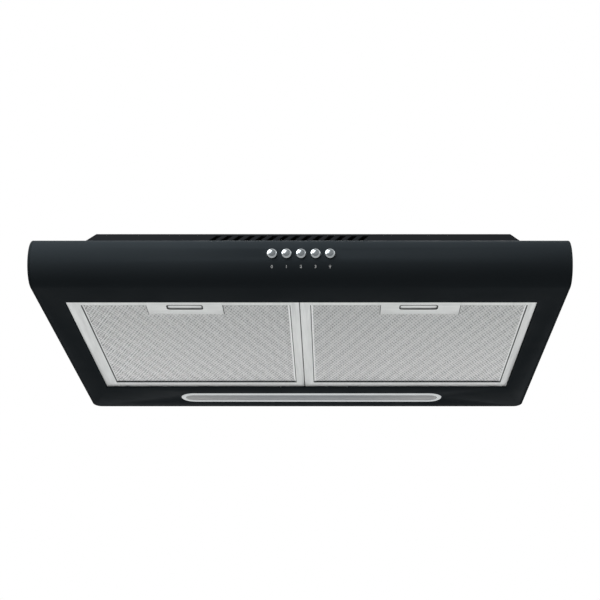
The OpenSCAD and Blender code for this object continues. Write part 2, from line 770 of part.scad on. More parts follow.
module switch_bank() color(dark_plastic) place() difference() {
    union() {
        block([button_x - bank_w / 2, bank_y0, bank_z0], [button_x + bank_w / 2, bank_y1, bank_z0 + bank_h]);
        for (i = [0 : button_count - 1], z = [-6, 0, 6])
            block([button_at(i) - 0.4, bank_y1 - eps, button_z + z - 2],
                  [button_at(i) + 0.4, bank_y1 + 6, button_z + z + 1]);
    }
    for (i = [0 : button_count - 1])
        block([button_at(i) - plunger_w / 2 - play, bank_y0 - cut, button_z - plunger_w / 2 - play],
              [button_at(i) + plunger_w / 2 + play, plunger_y1 + button_travel + play,
               button_z + plunger_w / 2 + play]);
}

module switch_bracket() color(zinc) place() {
    z0 = bank_z0 + bank_h;
    ear = 10;
    block([button_x - bank_w / 2 - ear, bank_y0, z0],
          [button_x + bank_w / 2 + ear, bank_y1, z0 + bracket_t]);
    for (s = [-1, 1])
        translate([button_x + s * (bank_w / 2 + ear - bracket_t / 2) - bracket_t / 2, nose_r, z0])
        cube([bracket_t, bank_y1 - nose_r, deck_z - z0]);
}

// ---- Filters ----

// Plan of a filter, less a margin on every side
module filter_plan(margin) translate([-filter_w / 2 + margin, filter_y0 + margin])
    square([filter_w - 2 * margin, filter_y1 - filter_y0 - 2 * margin]);

// Room that the latch plate takes from a filter
module latch_room(gap, z0, z1) block(
    [-latch_w / 2 - gap, latch_y0 - seat / 2, z0], [latch_w / 2 + gap, latch_y1 + gap, z1]
);

module filter_frame() color(bare_metal) {
    difference() {
        along_z(filter_z0, filter_z1) filter_plan(0);
        along_z(filter_z0 + frame_t, filter_z1 - frame_t) filter_plan(frame_t);
        along_z(filter_z0 - cut, filter_z0 + frame_t + eps) filter_plan(frame_strip_w);
        along_z(filter_z1 - frame_t - eps, filter_z1 + cut) filter_plan(frame_top_strip_w);
        latch_room(seat, filter_z0 - cut, filter_z0 + frame_t + eps);
        block([-tongue_w / 2 - play, filter_y0 - cut, slider_z0 - play],
              [tongue_w / 2 + play, filter_y0 + frame_t + cut, slider_z0 + slider_t + play]);
    }
    for (s = [-1, 1]) translate([s * hook_spacing / 2 - hook_w / 2, filter_y1 - frame_t, hook_z])
        cube([hook_w, hook_reach + frame_t, hook_t]);
}

// One expanded sheet, with its openings in rows
module expanded_sheet() {
    rows = 3;
    row_len = (mesh_y1 - latch_y1 - 2 * frame_strip_w) / rows;
    cols = floor((2 * mesh_x - 2 * frame_strip_w) / mesh_slit_pitch);
    difference() {
        translate([-mesh_x, mesh_y0]) square([2 * mesh_x, mesh_y1 - mesh_y0]);
        for (i = [0 : cols - 1], j = [0 : rows - 1])
            translate([(i - (cols - 1) / 2) * mesh_slit_pitch - mesh_slit_w / 2,
                       latch_y1 + frame_strip_w + j * row_len])
                square([mesh_slit_w, row_len - 6]);
    }
}

module filter_mesh() color(bare_metal) {
    difference() {
        along_z(low_mesh_z, low_mesh_z + mesh_t) expanded_sheet();
        latch_room(seat, low_mesh_z - cut, low_mesh_z + mesh_t + cut);
    }
    along_z(high_mesh_z, high_mesh_z + mesh_t) expanded_sheet();
}

// A thin sheet folded to and fro between the two expanded sheets
module filter_core() color(bare_metal) difference() {
    core_t = 0.5;
    low = low_mesh_z + mesh_t + seat;
    high = high_mesh_z - seat - core_t;
    folds = floor((2 * mesh_x - 4) / core_pitch);
    ridge = [for (i = [0 : 2 * folds]) [(i - folds) * core_pitch / 2, i % 2 == 0 ? low : high]];
    along_y(mesh_y0 + 1, mesh_y1 - 1) polygon(concat(
        ridge, [for (i = [2 * folds : -1 : 0]) ridge[i] + [0, core_t]]
    ));
    latch_room(1, low - cut, high + core_t + cut);
}

module latch_plate() color(bare_metal) difference() {
    union() {
        latch_room(0, filter_z0, filter_z0 + frame_t);
        for (s = [-1, 1])
            translate([s * (latch_wall_x + latch_wall_t / 2) - latch_wall_t / 2, latch_y0, filter_z0])
            cube([latch_wall_t, latch_wall_y1 - latch_y0, filter_h - frame_t - mesh_t - seat]);
        block([-latch_wall_x - latch_wall_t, latch_wall_y1, filter_z0],
              [latch_wall_x + latch_wall_t, latch_wall_y1 + latch_wall_t,
               filter_z1 - frame_t - mesh_t - seat]);
        for (s = [-1, 1]) translate([s * (latch_wall_x - 1) - 1, latch_y0, slider_z0 + slider_t + play])
            cube([2, latch_wall_y1 - latch_y0 + eps, 1]);
    }
    translate([0, pill_mid, filter_z0 - cut]) linear_extrude(frame_t + 2 * cut) stadium(pill_len, pill_w);
}

module latch_slider() color(bright_metal) {
    block([-slider_w / 2, slider_y0, slider_z0], [slider_w / 2, slider_y1, slider_z0 + slider_t]);
    block([-tongue_w / 2, filter_y0 + play, slider_z0],
          [tongue_w / 2, slider_y0 + eps, slider_z0 + slider_t]);
    translate([0, grip_y, filter_z0 + play]) linear_extrude(slider_z0 - filter_z0 - play + eps)
        stadium(grip_len, grip_w);
}

module on_left() place() translate([-filter_x, 0, 0]) children();
module on_right() place() translate([filter_x, 0, 0]) children();

module left_filter_frame() on_left() filter_frame();
module left_filter_mesh() on_left() filter_mesh();
module left_filter_core() on_left() filter_core();
module left_latch_plate() on_left() latch_plate();
module left_latch_slider() on_left() latch_slider();
module right_filter_frame() on_right() filter_frame();
module right_filter_mesh() on_right() filter_mesh();
module right_filter_core() on_right() filter_core();
module right_latch_plate() on_right() latch_plate();
module right_latch_slider() on_right() latch_slider();

// ---- Fan ----

module at_fan(z) translate([fan_x, fan_y, z]) children();

// Radius of the scroll at an angle, and a point of it grown by a distance
function scroll_r(a) = scroll_r0 + grown(a);
function scroll_point(a, grow) = [fan_x, fan_y] + (scroll_r(a) + grow) * [cos(a), sin(a)];

// Plan of the scroll and of its duct to the outlet box, grown by a distance
module scroll_plan(grow) {
    polygon([for (i = [0 : scroll_steps])
        scroll_point(tongue_angle + (duct_angle - tongue_angle) * i / scroll_steps, grow)]);
    translate([box_x, tongue_y - grow]) square([fan_x - box_x, scroll_back - tongue_y + 2 * grow]);
}

module scroll_housing() color(fan_plastic) place() {
    difference() {
        along_z(scroll_z0 + scroll_t, scroll_z1) scroll_plan(scroll_t);
        along_z(scroll_z0, scroll_z1 - scroll_t) scroll_plan(0);
        block([box_x - cut, tongue_y, scroll_z0], [box_x + cut, scroll_back, scroll_z1 - scroll_t]);
        for (a = [30 : 120 : 270]) at_fan(scroll_z1 - scroll_t - cut) rotate([0, 0, a])
            translate([motor_screw_pcd / 2, 0, 0]) cylinder(r = screw_r + seat, h = scroll_t + 2 * cut);
        at_fan(scroll_z1 - scroll_t - cut) translate([0, motor_r - 8, 0])
            cylinder(r = wire_r + seat, h = scroll_t + 2 * cut);
    }
    for (a = [10, 200, 300]) at_fan(scroll_z1 - eps) rotate([0, 0, a])
        translate([scroll_r0 - foot_r, 0, 0]) cylinder(r = foot_r, h = top_z - scroll_z1 + eps);
}

module scroll_floor() color(fan_plastic) place() difference() {
    along_z(scroll_z0, scroll_z0 + scroll_t) scroll_plan(scroll_t);
    at_fan(scroll_z0 - cut) cylinder(r = inlet_r + 2, h = scroll_t + 2 * cut);
}

// A flared mouth through the floor of the scroll
module inlet_ring() color(dark_plastic) place() at_fan(scroll_z0 - 2) rotate_extrude() difference() {
    union() {
        translate([inlet_r, 0]) square([8, 2]);
        translate([inlet_r, 0]) square([2 - seat, ring_h]);
    }
    translate([inlet_r, 0]) circle(r = 1);
}

module inlet_guard() color(zinc) place() at_fan(scroll_z0 - 2 - guard_wire) {
    rotate_extrude() for (r = [12, 24, 36, inlet_r + 5]) translate([r, 0]) circle(r = guard_wire, $fn = 24);
    for (a = [0 : 60 : 120]) rotate([0, 0, a]) translate([-inlet_r - 5, 0, 0]) rotate([0, 90, 0])
        cylinder(r = guard_wire * 0.9, h = 2 * (inlet_r + 5), $fn = 24);
}

module impeller() color(fan_plastic) place() at_fan(0) difference() {
    union() {
        difference() {
            translate([0, 0, impeller_z1 - blade_t]) cylinder(r = impeller_r, h = blade_t);
            translate([0, 0, impeller_z1 - blade_t - cut])
                cylinder(r = cup_r - blade_t, h = blade_t + 2 * cut);
        }
        difference() {
            translate([0, 0, impeller_z0]) cylinder(r = impeller_r, h = blade_t);
            translate([0, 0, impeller_z0 - cut])
                cylinder(r = impeller_r - blade_len * 0.6, h = blade_t + 2 * cut);
        }
        difference() {
            translate([0, 0, cup_z0]) cylinder(r = cup_r, h = impeller_z1 - cup_z0);
            translate([0, 0, cup_z0 + blade_t]) cylinder(r = cup_r - blade_t, h = impeller_z1 - cup_z0);
        }
        for (i = [0 : blade_count - 1]) rotate([0, 0, i * 360 / blade_count])
            translate([impeller_r - blade_t, 0, impeller_z0 + blade_t - eps]) rotate([0, 0, 145])
                cube([blade_len, blade_t, impeller_z1 - impeller_z0 - 2 * blade_t + 2 * eps]);
        translate([0, 0, cup_z0 - hub_h]) cylinder(r = hub_r, h = hub_h + eps);
    }
    translate([0, 0, cup_z0 - hub_h - cut]) cylinder(r = shaft_r + shaft_gap, h = hub_h + blade_t + 2 * cut);
}

module impeller_nut() color(zinc) place() at_fan(cup_z0 - hub_h - nut_h) difference() {
    cylinder(r = shaft_r + 3.5, h = nut_h, $fn = 6);
    translate([0, 0, -cut]) cylinder(r = shaft_r + shaft_gap, h = nut_h + 2 * cut);
}

module motor_shaft() color(zinc) place() at_fan(shaft_z0) cylinder(r = shaft_r, h = motor_z1 - 6 - shaft_z0);

module fan_motor() color(bare_metal) place() at_fan(motor_z0) difference() {
    union() {
        cylinder(r = motor_r - 3, h = 6);
        translate([0, 0, 6 - eps]) cylinder(r = motor_r, h = motor_h - 12 + 2 * eps);
        translate([0, 0, motor_h - 6]) cylinder(r = motor_r - 3, h = 6);
    }
    translate([0, 0, -cut]) cylinder(r = shaft_r + 1, h = motor_h - 5 + cut);
    translate([0, 0, -cut]) cylinder(r = bearing_r + shaft_gap, h = bearing_h + cut);
    translate([0, 0, motor_h - 6 - bearing_h]) cylinder(r = bearing_r + shaft_gap, h = bearing_h + 1);
    for (a = [30 : 120 : 270]) rotate([0, 0, a])
        translate([motor_screw_pcd / 2, 0, motor_h - screw_len])
            cylinder(r = screw_r + seat, h = screw_len + cut);
}

module motor_bearings() color(bright_metal) place() at_fan(motor_z0)
    for (z = [0, motor_h - 6 - bearing_h]) translate([0, 0, z]) difference() {
        cylinder(r = bearing_r, h = bearing_h);
        translate([0, 0, -cut]) cylinder(r = shaft_r + shaft_gap, h = bearing_h + 2 * cut);
    }

module motor_screws() color(zinc) place() at_fan(scroll_z1)
    for (a = [30 : 120 : 270]) rotate([0, 0, a]) translate([motor_screw_pcd / 2, 0, 0]) pan_screw(0);

module capacitor() color("#d9dadb") place()
    translate([capacitor_at[0], capacitor_at[1], top_z - capacitor_r - 2]) {
        rotate([0, 90, 0]) cylinder(r = capacitor_r, h = capacitor_len);
        translate([capacitor_len / 2 - 6, -capacitor_r - 3, capacitor_r / 2])
            cube([12, 2 * capacitor_r + 6, capacitor_r / 2 + 2]);
    }

// ---- Outlet ----

module outlet_box() color(zinc) place() difference() {
    block([-box_x, box_y0, box_z0], [box_x, box_y1, top_z]);
    block([-box_x + box_t, box_y0 + box_t, box_z0 + box_t], [box_x - box_t, box_y1 - box_t, top_z + cut]);
    block([box_x - box_t - cut, tongue_y, scroll_z0 + scroll_t],
          [box_x + cut, scroll_back, scroll_z1 - scroll_t]);
    block([-box_x + window_margin, box_y0 - cut, box_z0 + window_margin],
          [box_x - window_margin, box_y0 + box_t + cut, top_z - window_margin]);
}

module duct_collar() color(dark_plastic) place() translate([0, collar_y, 0]) difference() {
    union() {
        translate([0, 0, collar_z0])
            cylinder(r = collar_r, h = total_h + collar_flange_t + collar_h - collar_z0);
        translate([0, 0, total_h]) cylinder(r = collar_r + collar_flange_w, h = collar_flange_t);
    }
    translate([0, 0, collar_z0 - cut]) cylinder(r = collar_bore - ledge_w, h = ledge_t + 2 * cut);
    translate([0, 0, collar_z0 + ledge_t])
        cylinder(r = collar_bore, h = total_h + collar_flange_t + collar_h - collar_z0);
    rod_y(0, flap_z, -collar_r - cut, collar_r + cut, pin_r + 0.05);
    translate([0, -collar_y, 0]) screw_holes(collar_screws, total_h - cut, total_h + collar_flange_t + cut);
}

module damper_pin() color(zinc) place()
    rod_y(0, flap_z, collar_y - collar_r + 0.5, collar_y + collar_r - 0.5, pin_r);

// A half-round flap to the right of the pin, its knuckles starting at the given places along the pin
module damper_flap(starts) color(grey_plastic) translate([0, collar_y, flap_z]) difference() {
    len = 22;
    union() {
        intersection() {
            translate([0, 0, -flap_t / 2]) cylinder(r = flap_r, h = flap_t);
            translate([knuckle_r + play, -flap_r, -flap_t]) cube([flap_r, 2 * flap_r, 2 * flap_t]);
        }
        for (y = starts) {
            rod_y(0, 0, y, y + len, knuckle_r);
            translate([pin_r + 0.5, y, -flap_t / 2]) cube([knuckle_r + play, len, flap_t]);
        }
    }
    rod_y(0, 0, -flap_r - cut, flap_r + cut, pin_r + 0.05);
}

module left_damper_flap() place() mirror([1, 0, 0]) damper_flap([-49, 1]);
module right_damper_flap() place() damper_flap([-24, 26]);

// ---- Electrics ----

module at_terminal(z) place() translate([terminal_x, terminal_y, z]) children();

module terminal_box() color(grey_plastic) at_terminal(top_z - terminal_h) difference() {
    translate([-terminal_w / 2, -terminal_d / 2, 0]) cube([terminal_w, terminal_d, terminal_h]);
    translate([-terminal_w / 2 + wall_p, -terminal_d / 2 + wall_p, -cut])
        cube([terminal_w - 2 * wall_p, terminal_d - 2 * wall_p, terminal_h - wall_p + cut]);
    translate([0, 0, terminal_h - wall_p - cut]) cylinder(r = gland_thread_r + seat, h = wall_p + 2 * cut);
}

module terminal_lid() color(grey_plastic) at_terminal(top_z - terminal_h - wall_p) {
    inner_w = terminal_w - 2 * wall_p - 2 * seat;
    inner_d = terminal_d - 2 * wall_p - 2 * seat;
    translate([-terminal_w / 2, -terminal_d / 2, 0]) cube([terminal_w, terminal_d, wall_p]);
    translate([-inner_w / 2, -inner_d / 2, wall_p - eps]) difference() {
        cube([inner_w, inner_d, 3]);
        translate([2, 2, -cut]) cube([inner_w - 4, inner_d - 4, 5]);
    }
}

module cable_gland() color(dark_plastic) at_terminal(total_h) difference() {
    thread_len = sheet_t + wall_p + 6;
    union() {
        translate([0, 0, -thread_len]) cylinder(r = gland_thread_r, h = thread_len + eps);
        cylinder(r = gland_hex, h = 5, $fn = 6);
        translate([0, 0, 5 - eps]) cylinder(r = gland_hex - 2, h = gland_h - 5);
    }
    translate([0, 0, -thread_len - cut])
        cylinder(r = gland_bore_r, h = gland_h + thread_len + 2 * cut);
}

// Rings of a tube through a list of points: each is the last one slid along its stretch on to the mitre plane
function unit(v) = v / norm(v);
function stretch(points, i) = unit(points[i + 1] - points[i]);
function mitre(points, i) = i == len(points) - 1
    ? stretch(points, i - 1) : unit(stretch(points, i - 1) + stretch(points, i));
function slide(ring, points, i) = [for (v = ring)
    v + stretch(points, i - 1) * ((points[i] - v) * mitre(points, i))
        / (stretch(points, i - 1) * mitre(points, i))];
function rings(ring, points, i = 1) = i == len(points)
    ? ring : concat(ring, rings(slide(ring, points, i), points, i + 1));

// A round wire through a list of points, with mitred bends
module wire(points) {
    n = wire_sides;
    d = stretch(points, 0);
    side = unit(cross(d, abs(d[2]) < 0.9 ? [0, 0, 1] : [1, 0, 0]));
    first = [for (j = [0 : n - 1])
        points[0] + wire_r * (cos(j * 360 / n) * side + sin(j * 360 / n) * cross(d, side))];
    polyhedron(rings(first, points), concat(
        [[for (j = [0 : n - 1]) j]],
        [for (k = [0 : len(points) - 2], j = [0 : n - 1])
            [k * n + j, (k + 1) * n + j, (k + 1) * n + (j + 1) % n, k * n + (j + 1) % n]],
        [[for (j = [n - 1 : -1 : 0]) (len(points) - 1) * n + j]]
    ));
}

module wiring_harness() color("#303234") place() {
    bank_wire_x = button_x - bank_w / 2 + 4;
    loom_x = terminal_x - terminal_w / 2 - 11;
    loom_z = tray_h - 10;
    loom_y = bank_y1 + 16;
    high_z = top_z - wire_r - 0.8;
    lamp_wire_x = driver_at[0] + driver_size[0] + 23;
    lamp_wire_y = driver_at[1] + driver_size[1] / 2;
    motor_wire_y = fan_y + motor_r - 8;
    wire([
        [bank_wire_x, bank_y1, button_z], [bank_wire_x, bank_y1 + 6, button_z],
        [bank_wire_x, loom_y, loom_z], [loom_x, loom_y, loom_z], [loom_x, terminal_y, loom_z],
        [loom_x, terminal_y, top_z - 16], [terminal_x - terminal_w / 2, terminal_y, top_z - 16]
    ]);
    wire([
        [terminal_x + terminal_w / 2, terminal_y + 10, top_z - 10],
        [terminal_x + terminal_w / 2 + 8, terminal_y + 10, top_z - 10],
        [terminal_x + terminal_w / 2 + 24, terminal_y + 10, high_z],
        [fan_x, terminal_y + 10, high_z], [fan_x, motor_wire_y, high_z], [fan_x, motor_wire_y, motor_z1]
    ]);
    wire([
        [driver_at[0] + driver_size[0], lamp_wire_y, top_z - 14],
        [lamp_wire_x - 4, lamp_wire_y, top_z - 14], [lamp_wire_x, lamp_wire_y + 10, top_z - 44],
        [lamp_wire_x, lamp_y, 2 * lamp_h], [lamp_wire_x, lamp_y, lamp_h]
    ]);
}

visor_shell();
left_end_cap();
right_end_cap();
deck_panel();
housing_front();
housing_cover();
back_panel();
shell_screws();
vent_shutter();
lamp_rim();
lamp_lens();
lamp_tray();
led_board();
led_chips();
led_driver();
switch_bank();
switch_bracket();
button_off_cap();
button_low_cap();
button_medium_cap();
button_high_cap();
button_lamp_cap();
button_off_plunger();
button_low_plunger();
button_medium_plunger();
button_high_plunger();
button_lamp_plunger();
left_filter_frame();
left_filter_mesh();
left_filter_core();
left_latch_plate();
left_latch_slider();
right_filter_frame();
right_filter_mesh();
right_filter_core();
right_latch_plate();
right_latch_slider();
scroll_housing();
scroll_floor();
inlet_ring();
inlet_guard();
impeller();
impeller_nut();
motor_shaft();
fan_motor();
motor_bearings();
motor_screws();
capacitor();
outlet_box();
duct_collar();
left_damper_flap();
right_damper_flap();
damper_pin();
terminal_box();
terminal_lid();
cable_gland();
wiring_harness();
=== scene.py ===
"""Looks of an under-cabinet range hood: finishes, finely modelled pieces, camera, floor and light.

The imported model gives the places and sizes. What shows is modelled again with soft edges and real relief,
and the other solids keep their shape and get their finish.
"""

from __future__ import annotations

import json
import logging
import math
from dataclasses import dataclass, field
from enum import Enum
from typing import Any, Callable, Sequence

import bmesh
import bpy
from mathutils import Matrix, Vector

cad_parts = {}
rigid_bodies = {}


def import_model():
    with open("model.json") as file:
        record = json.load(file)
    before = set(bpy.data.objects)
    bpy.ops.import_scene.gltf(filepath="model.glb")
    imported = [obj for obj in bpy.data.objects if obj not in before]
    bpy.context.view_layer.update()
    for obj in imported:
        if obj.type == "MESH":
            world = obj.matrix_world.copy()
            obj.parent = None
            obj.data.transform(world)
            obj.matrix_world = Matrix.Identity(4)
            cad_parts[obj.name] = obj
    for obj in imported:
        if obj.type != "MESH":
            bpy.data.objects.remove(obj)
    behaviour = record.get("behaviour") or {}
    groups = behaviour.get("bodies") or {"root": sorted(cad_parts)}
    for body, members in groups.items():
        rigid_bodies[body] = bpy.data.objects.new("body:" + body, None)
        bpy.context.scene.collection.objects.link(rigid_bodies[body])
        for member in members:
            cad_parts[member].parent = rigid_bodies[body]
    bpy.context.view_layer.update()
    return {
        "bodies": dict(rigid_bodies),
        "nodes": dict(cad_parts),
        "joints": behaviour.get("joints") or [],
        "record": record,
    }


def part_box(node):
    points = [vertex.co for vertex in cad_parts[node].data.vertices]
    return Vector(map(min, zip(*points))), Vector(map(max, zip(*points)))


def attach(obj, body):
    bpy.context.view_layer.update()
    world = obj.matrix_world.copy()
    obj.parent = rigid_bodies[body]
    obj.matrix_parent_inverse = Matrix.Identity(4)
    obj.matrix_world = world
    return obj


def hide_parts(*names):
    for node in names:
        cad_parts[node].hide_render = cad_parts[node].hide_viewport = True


LOG = logging.getLogger("range_hood")
MM = 0.001
# Two places nearer to each other than this, in millimetres, are the same.
TOUCH = 0.01
# A normal with this share of an axis faces along it.
FACING = 0.9
# How far a cutting block or a test runs past an edge, in millimetres.
PAST = 1.0
# How far joined parts run into each other, in millimetres.
OVERLAP = 0.1

Point = tuple[float, float, float]
Place = Sequence[float]
Test = Callable[[Vector, Vector], bool]
Tree = bpy.types.NodeTree
Node = bpy.types.Node
Socket = bpy.types.NodeSocket


# ---- Materials ----


def linear(hex_code: str) -> tuple[float, float, float, float]:
    """Turn an sRGB hex code into a linear colour.

    Args:
        hex_code: Colour as "#rrggbb".

    Returns:
        Red, green, blue and alpha, linear.
    """
    shares = [int(hex_code[i : i + 2], 16) / 255 for i in (1, 3, 5)]
    red, green, blue = [s / 12.92 if s <= 0.04045 else ((s + 0.055) / 1.055) ** 2.4 for s in shares]
    return red, green, blue, 1.0


def empty_tree(owner: bpy.types.Material | bpy.types.World) -> Tree:
    """Turn on the nodes of a material or world and clear them.

    Args:
        owner: The material or world.

    Returns:
        Its node tree.
    """
    owner.use_nodes = True
    owner.node_tree.nodes.clear()
    return owner.node_tree


def add_node(tree: Tree, kind: str, inputs: dict[Any, Any] | None = None, **settings: Any) -> Node:
    """Add a node with its settings, values and links.

    Args:
        tree: Node tree of the material.
        kind: Type of the node.
        inputs: Value, or socket to link from, for each input by name or number.
        **settings: Properties of the node itself.

    Returns:
        The new node.
    """
    node = tree.nodes.new(kind)
    for name, value in settings.items():
        setattr(node, name, value)
    for key, value in (inputs or {}).items():
        socket = node.inputs[key]
        if isinstance(value, bpy.types.NodeSocket):
            tree.links.new(value, socket)
        else:
            socket.default_value = value
    return node


class Way(Enum):
    """Direction in which a metal sheet was brushed or rolled."""

    ACROSS = (1.0, 0.0, 0.0)
    BACKWARD = (0.0, 1.0, 0.0)


@dataclass(frozen=True)
class Finish:
    """One surface finish; a subclass adds the pattern that its making leaves."""

    name: str
    colour: str
    roughness: float
    metallic: float = 0.0
    ior: float = 1.5
    specular: float = 0.5

    def material(self) -> bpy.types.Material:
        """Return the material of this finish, made when it is first asked for.

        Returns:
            The material.
        """
        known = bpy.data.materials.get(self.name)
        if known:
            return known
        material = bpy.data.materials.new(self.name)
        tree = empty_tree(material)
        shader = add_node(tree, "ShaderNodeBsdfPrincipled", {
            "Base Color": linear(self.colour), "Roughness": self.roughness, "Metallic": self.metallic,
            "IOR": self.ior, "Specular IOR Level": self.specular,
        })
        add_node(tree, "ShaderNodeOutputMaterial", {"Surface": shader.outputs["BSDF"]})
        place = add_node(tree, "ShaderNodeTexCoord").outputs["Object"]
        self.pattern(tree, shader, place)
        return material

    def pattern(self, tree: Tree, shader: Node, place: Socket) -> None:
        """Add what the making leaves on the surface.

        Args:
            tree: Node tree of the material.
            shader: Its Principled shader.
            place: Object coordinates, in metres.
        """

    def mottle(self, tree: Tree, place: Socket, size_mm: float, low: float, high: float,
               detail: float = 2.0) -> Socket:
        """Spread uneven patches of a real size between two values.

        Args:
            tree: Node tree of the material.
            place: Coordinates, in metres.
            size_mm: Size of a patch.
            low: Lowest value.
            high: Highest value.
            detail: Octaves of finer patches.

        Returns:
            The socket with the value.
        """
        cloud = add_node(tree, "ShaderNodeTexNoise",
                         {"Vector": place, "Scale": 1000 / size_mm, "Detail": detail, "Roughness": 0.55})
        # Nearly all of the noise lies between 0.3 and 0.7.
        return add_node(tree, "ShaderNodeMapRange", {
            "Value": cloud.outputs["Fac"], "From Min": 0.3, "From Max": 0.7, "To Min": low, "To Max": high,
        }).outputs["Result"]

    def tint(self, tree: Tree, shader: Node, amount: Socket, other: str) -> None:
        """Let the colour wander towards another one.

        Args:
            tree: Node tree of the material.
            shader: Its Principled shader.
            amount: Share of the other colour.
            other: That colour.
        """
        mix = add_node(tree, "ShaderNodeMix", {0: amount, 6: linear(self.colour), 7: linear(other)},
                       data_type="RGBA")
        tree.links.new(mix.outputs[2], shader.inputs["Base Color"])

    def relief(self, tree: Tree, shader: Node, height: Socket, strength: float, depth_mm: float) -> None:
        """Raise and lower the surface by a height pattern.

        Args:
            tree: Node tree of the material.
            shader: Its Principled shader.
            height: Height from 0 to 1.
            strength: Strength of the relief.
            depth_mm: Depth of the pattern.
        """
        bump = add_node(tree, "ShaderNodeBump",
                        {"Height": height, "Strength": strength, "Distance": depth_mm * MM})
        tree.links.new(bump.outputs["Normal"], shader.inputs["Normal"])


@dataclass(frozen=True)
class PowderCoat(Finish):
    """Baked powder paint on folded steel: an even skin with a faint orange peel."""

    haze: str = "#222527"
    haze_mm: float = 140.0
    gloss_mm: float = 45.0
    gloss_step: float = 0.05
    peel_mm: float = 2.2
    peel_strength: float = 0.08
    peel_depth_mm: float = 0.03

    def pattern(self, tree: Tree, shader: Node, place: Socket) -> None:
        """Add slow haze, uneven gloss and the orange peel, which is drawn coarser than its real 0.5 mm.

        Args:
            tree: Node tree of the material.
            shader: Its Principled shader.
            place: Object coordinates, in metres.
        """
        self.tint(tree, shader, self.mottle(tree, place, self.haze_mm, 0.0, 1.0, 3.0), self.haze)
        gloss = self.mottle(tree, place, self.gloss_mm, self.roughness - self.gloss_step,
                            self.roughness + self.gloss_step)
        tree.links.new(gloss, shader.inputs["Roughness"])
        peel = self.mottle(tree, place, self.peel_mm, 0.0, 1.0, 1.0)
        self.relief(tree, shader, peel, self.peel_strength, self.peel_depth_mm)


@dataclass(frozen=True)
class MouldedPlastic(Finish):
    """Injection-moulded ABS or polypropylene with the grain of a spark-eroded mould."""

    shade: str = "#232526"
    flow_mm: float = 60.0
    grain_mm: float = 1.2
    grain_strength: float = 0.25
    grain_depth_mm: float = 0.04

    def pattern(self, tree: Tree, shader: Node, place: Socket) -> None:
        """Add the mould's grain, drawn coarser than its real 0.3 mm, and a slight flow shade.

        Args:
            tree: Node tree of the material.
            shader: Its Principled shader.
            place: Object coordinates, in metres.
        """
        self.tint(tree, shader, self.mottle(tree, place, self.flow_mm, 0.0, 1.0), self.shade)
        cells = add_node(tree, "ShaderNodeTexVoronoi", {"Vector": place, "Scale": 1000 / self.grain_mm})
        self.relief(tree, shader, cells.outputs["Distance"], self.grain_strength, self.grain_depth_mm)


@dataclass(frozen=True)
class BrushedMetal(Finish):
    """Rolled or brushed sheet metal with fine lines along one direction."""

    shade: str = "#b4b8b8"
    way: Way = Way.BACKWARD
    line_mm: float = 0.9
    line_ratio: float = 40.0
    line_gloss: float = 0.12
    line_strength: float = 0.12
    line_depth_mm: float = 0.02
    marks_mm: float = 55.0

    def pattern(self, tree: Tree, shader: Node, place: Socket) -> None:
        """Add lines forty times as long as wide, in colour, gloss and relief, and soft handling marks.

        The lines are drawn coarser than their real 0.1 mm.

        Args:
            tree: Node tree of the material.
            shader: Its Principled shader.
            place: Object coordinates, in metres.
        """
        stretch = [1.0 - (1.0 - 1.0 / self.line_ratio) * share for share in self.way.value]
        drawn = add_node(tree, "ShaderNodeMapping", {"Vector": place, "Scale": stretch}).outputs["Vector"]
        grain = self.mottle(tree, drawn, self.line_mm, 0.0, 1.0, 3.0)
        marks = self.mottle(tree, place, self.marks_mm, 0.0, 1.0)
        share = add_node(tree, "ShaderNodeMath", {0: grain, 1: marks}, operation="MULTIPLY").outputs["Value"]
        self.tint(tree, shader, share, self.shade)
        gloss = add_node(tree, "ShaderNodeMapRange", {
            "Value": grain, "To Min": self.roughness - self.line_gloss, "To Max": self.roughness + self.line_gloss,
        })
        tree.links.new(gloss.outputs["Result"], shader.inputs["Roughness"])
        self.relief(tree, shader, grain, self.line_strength, self.line_depth_mm)


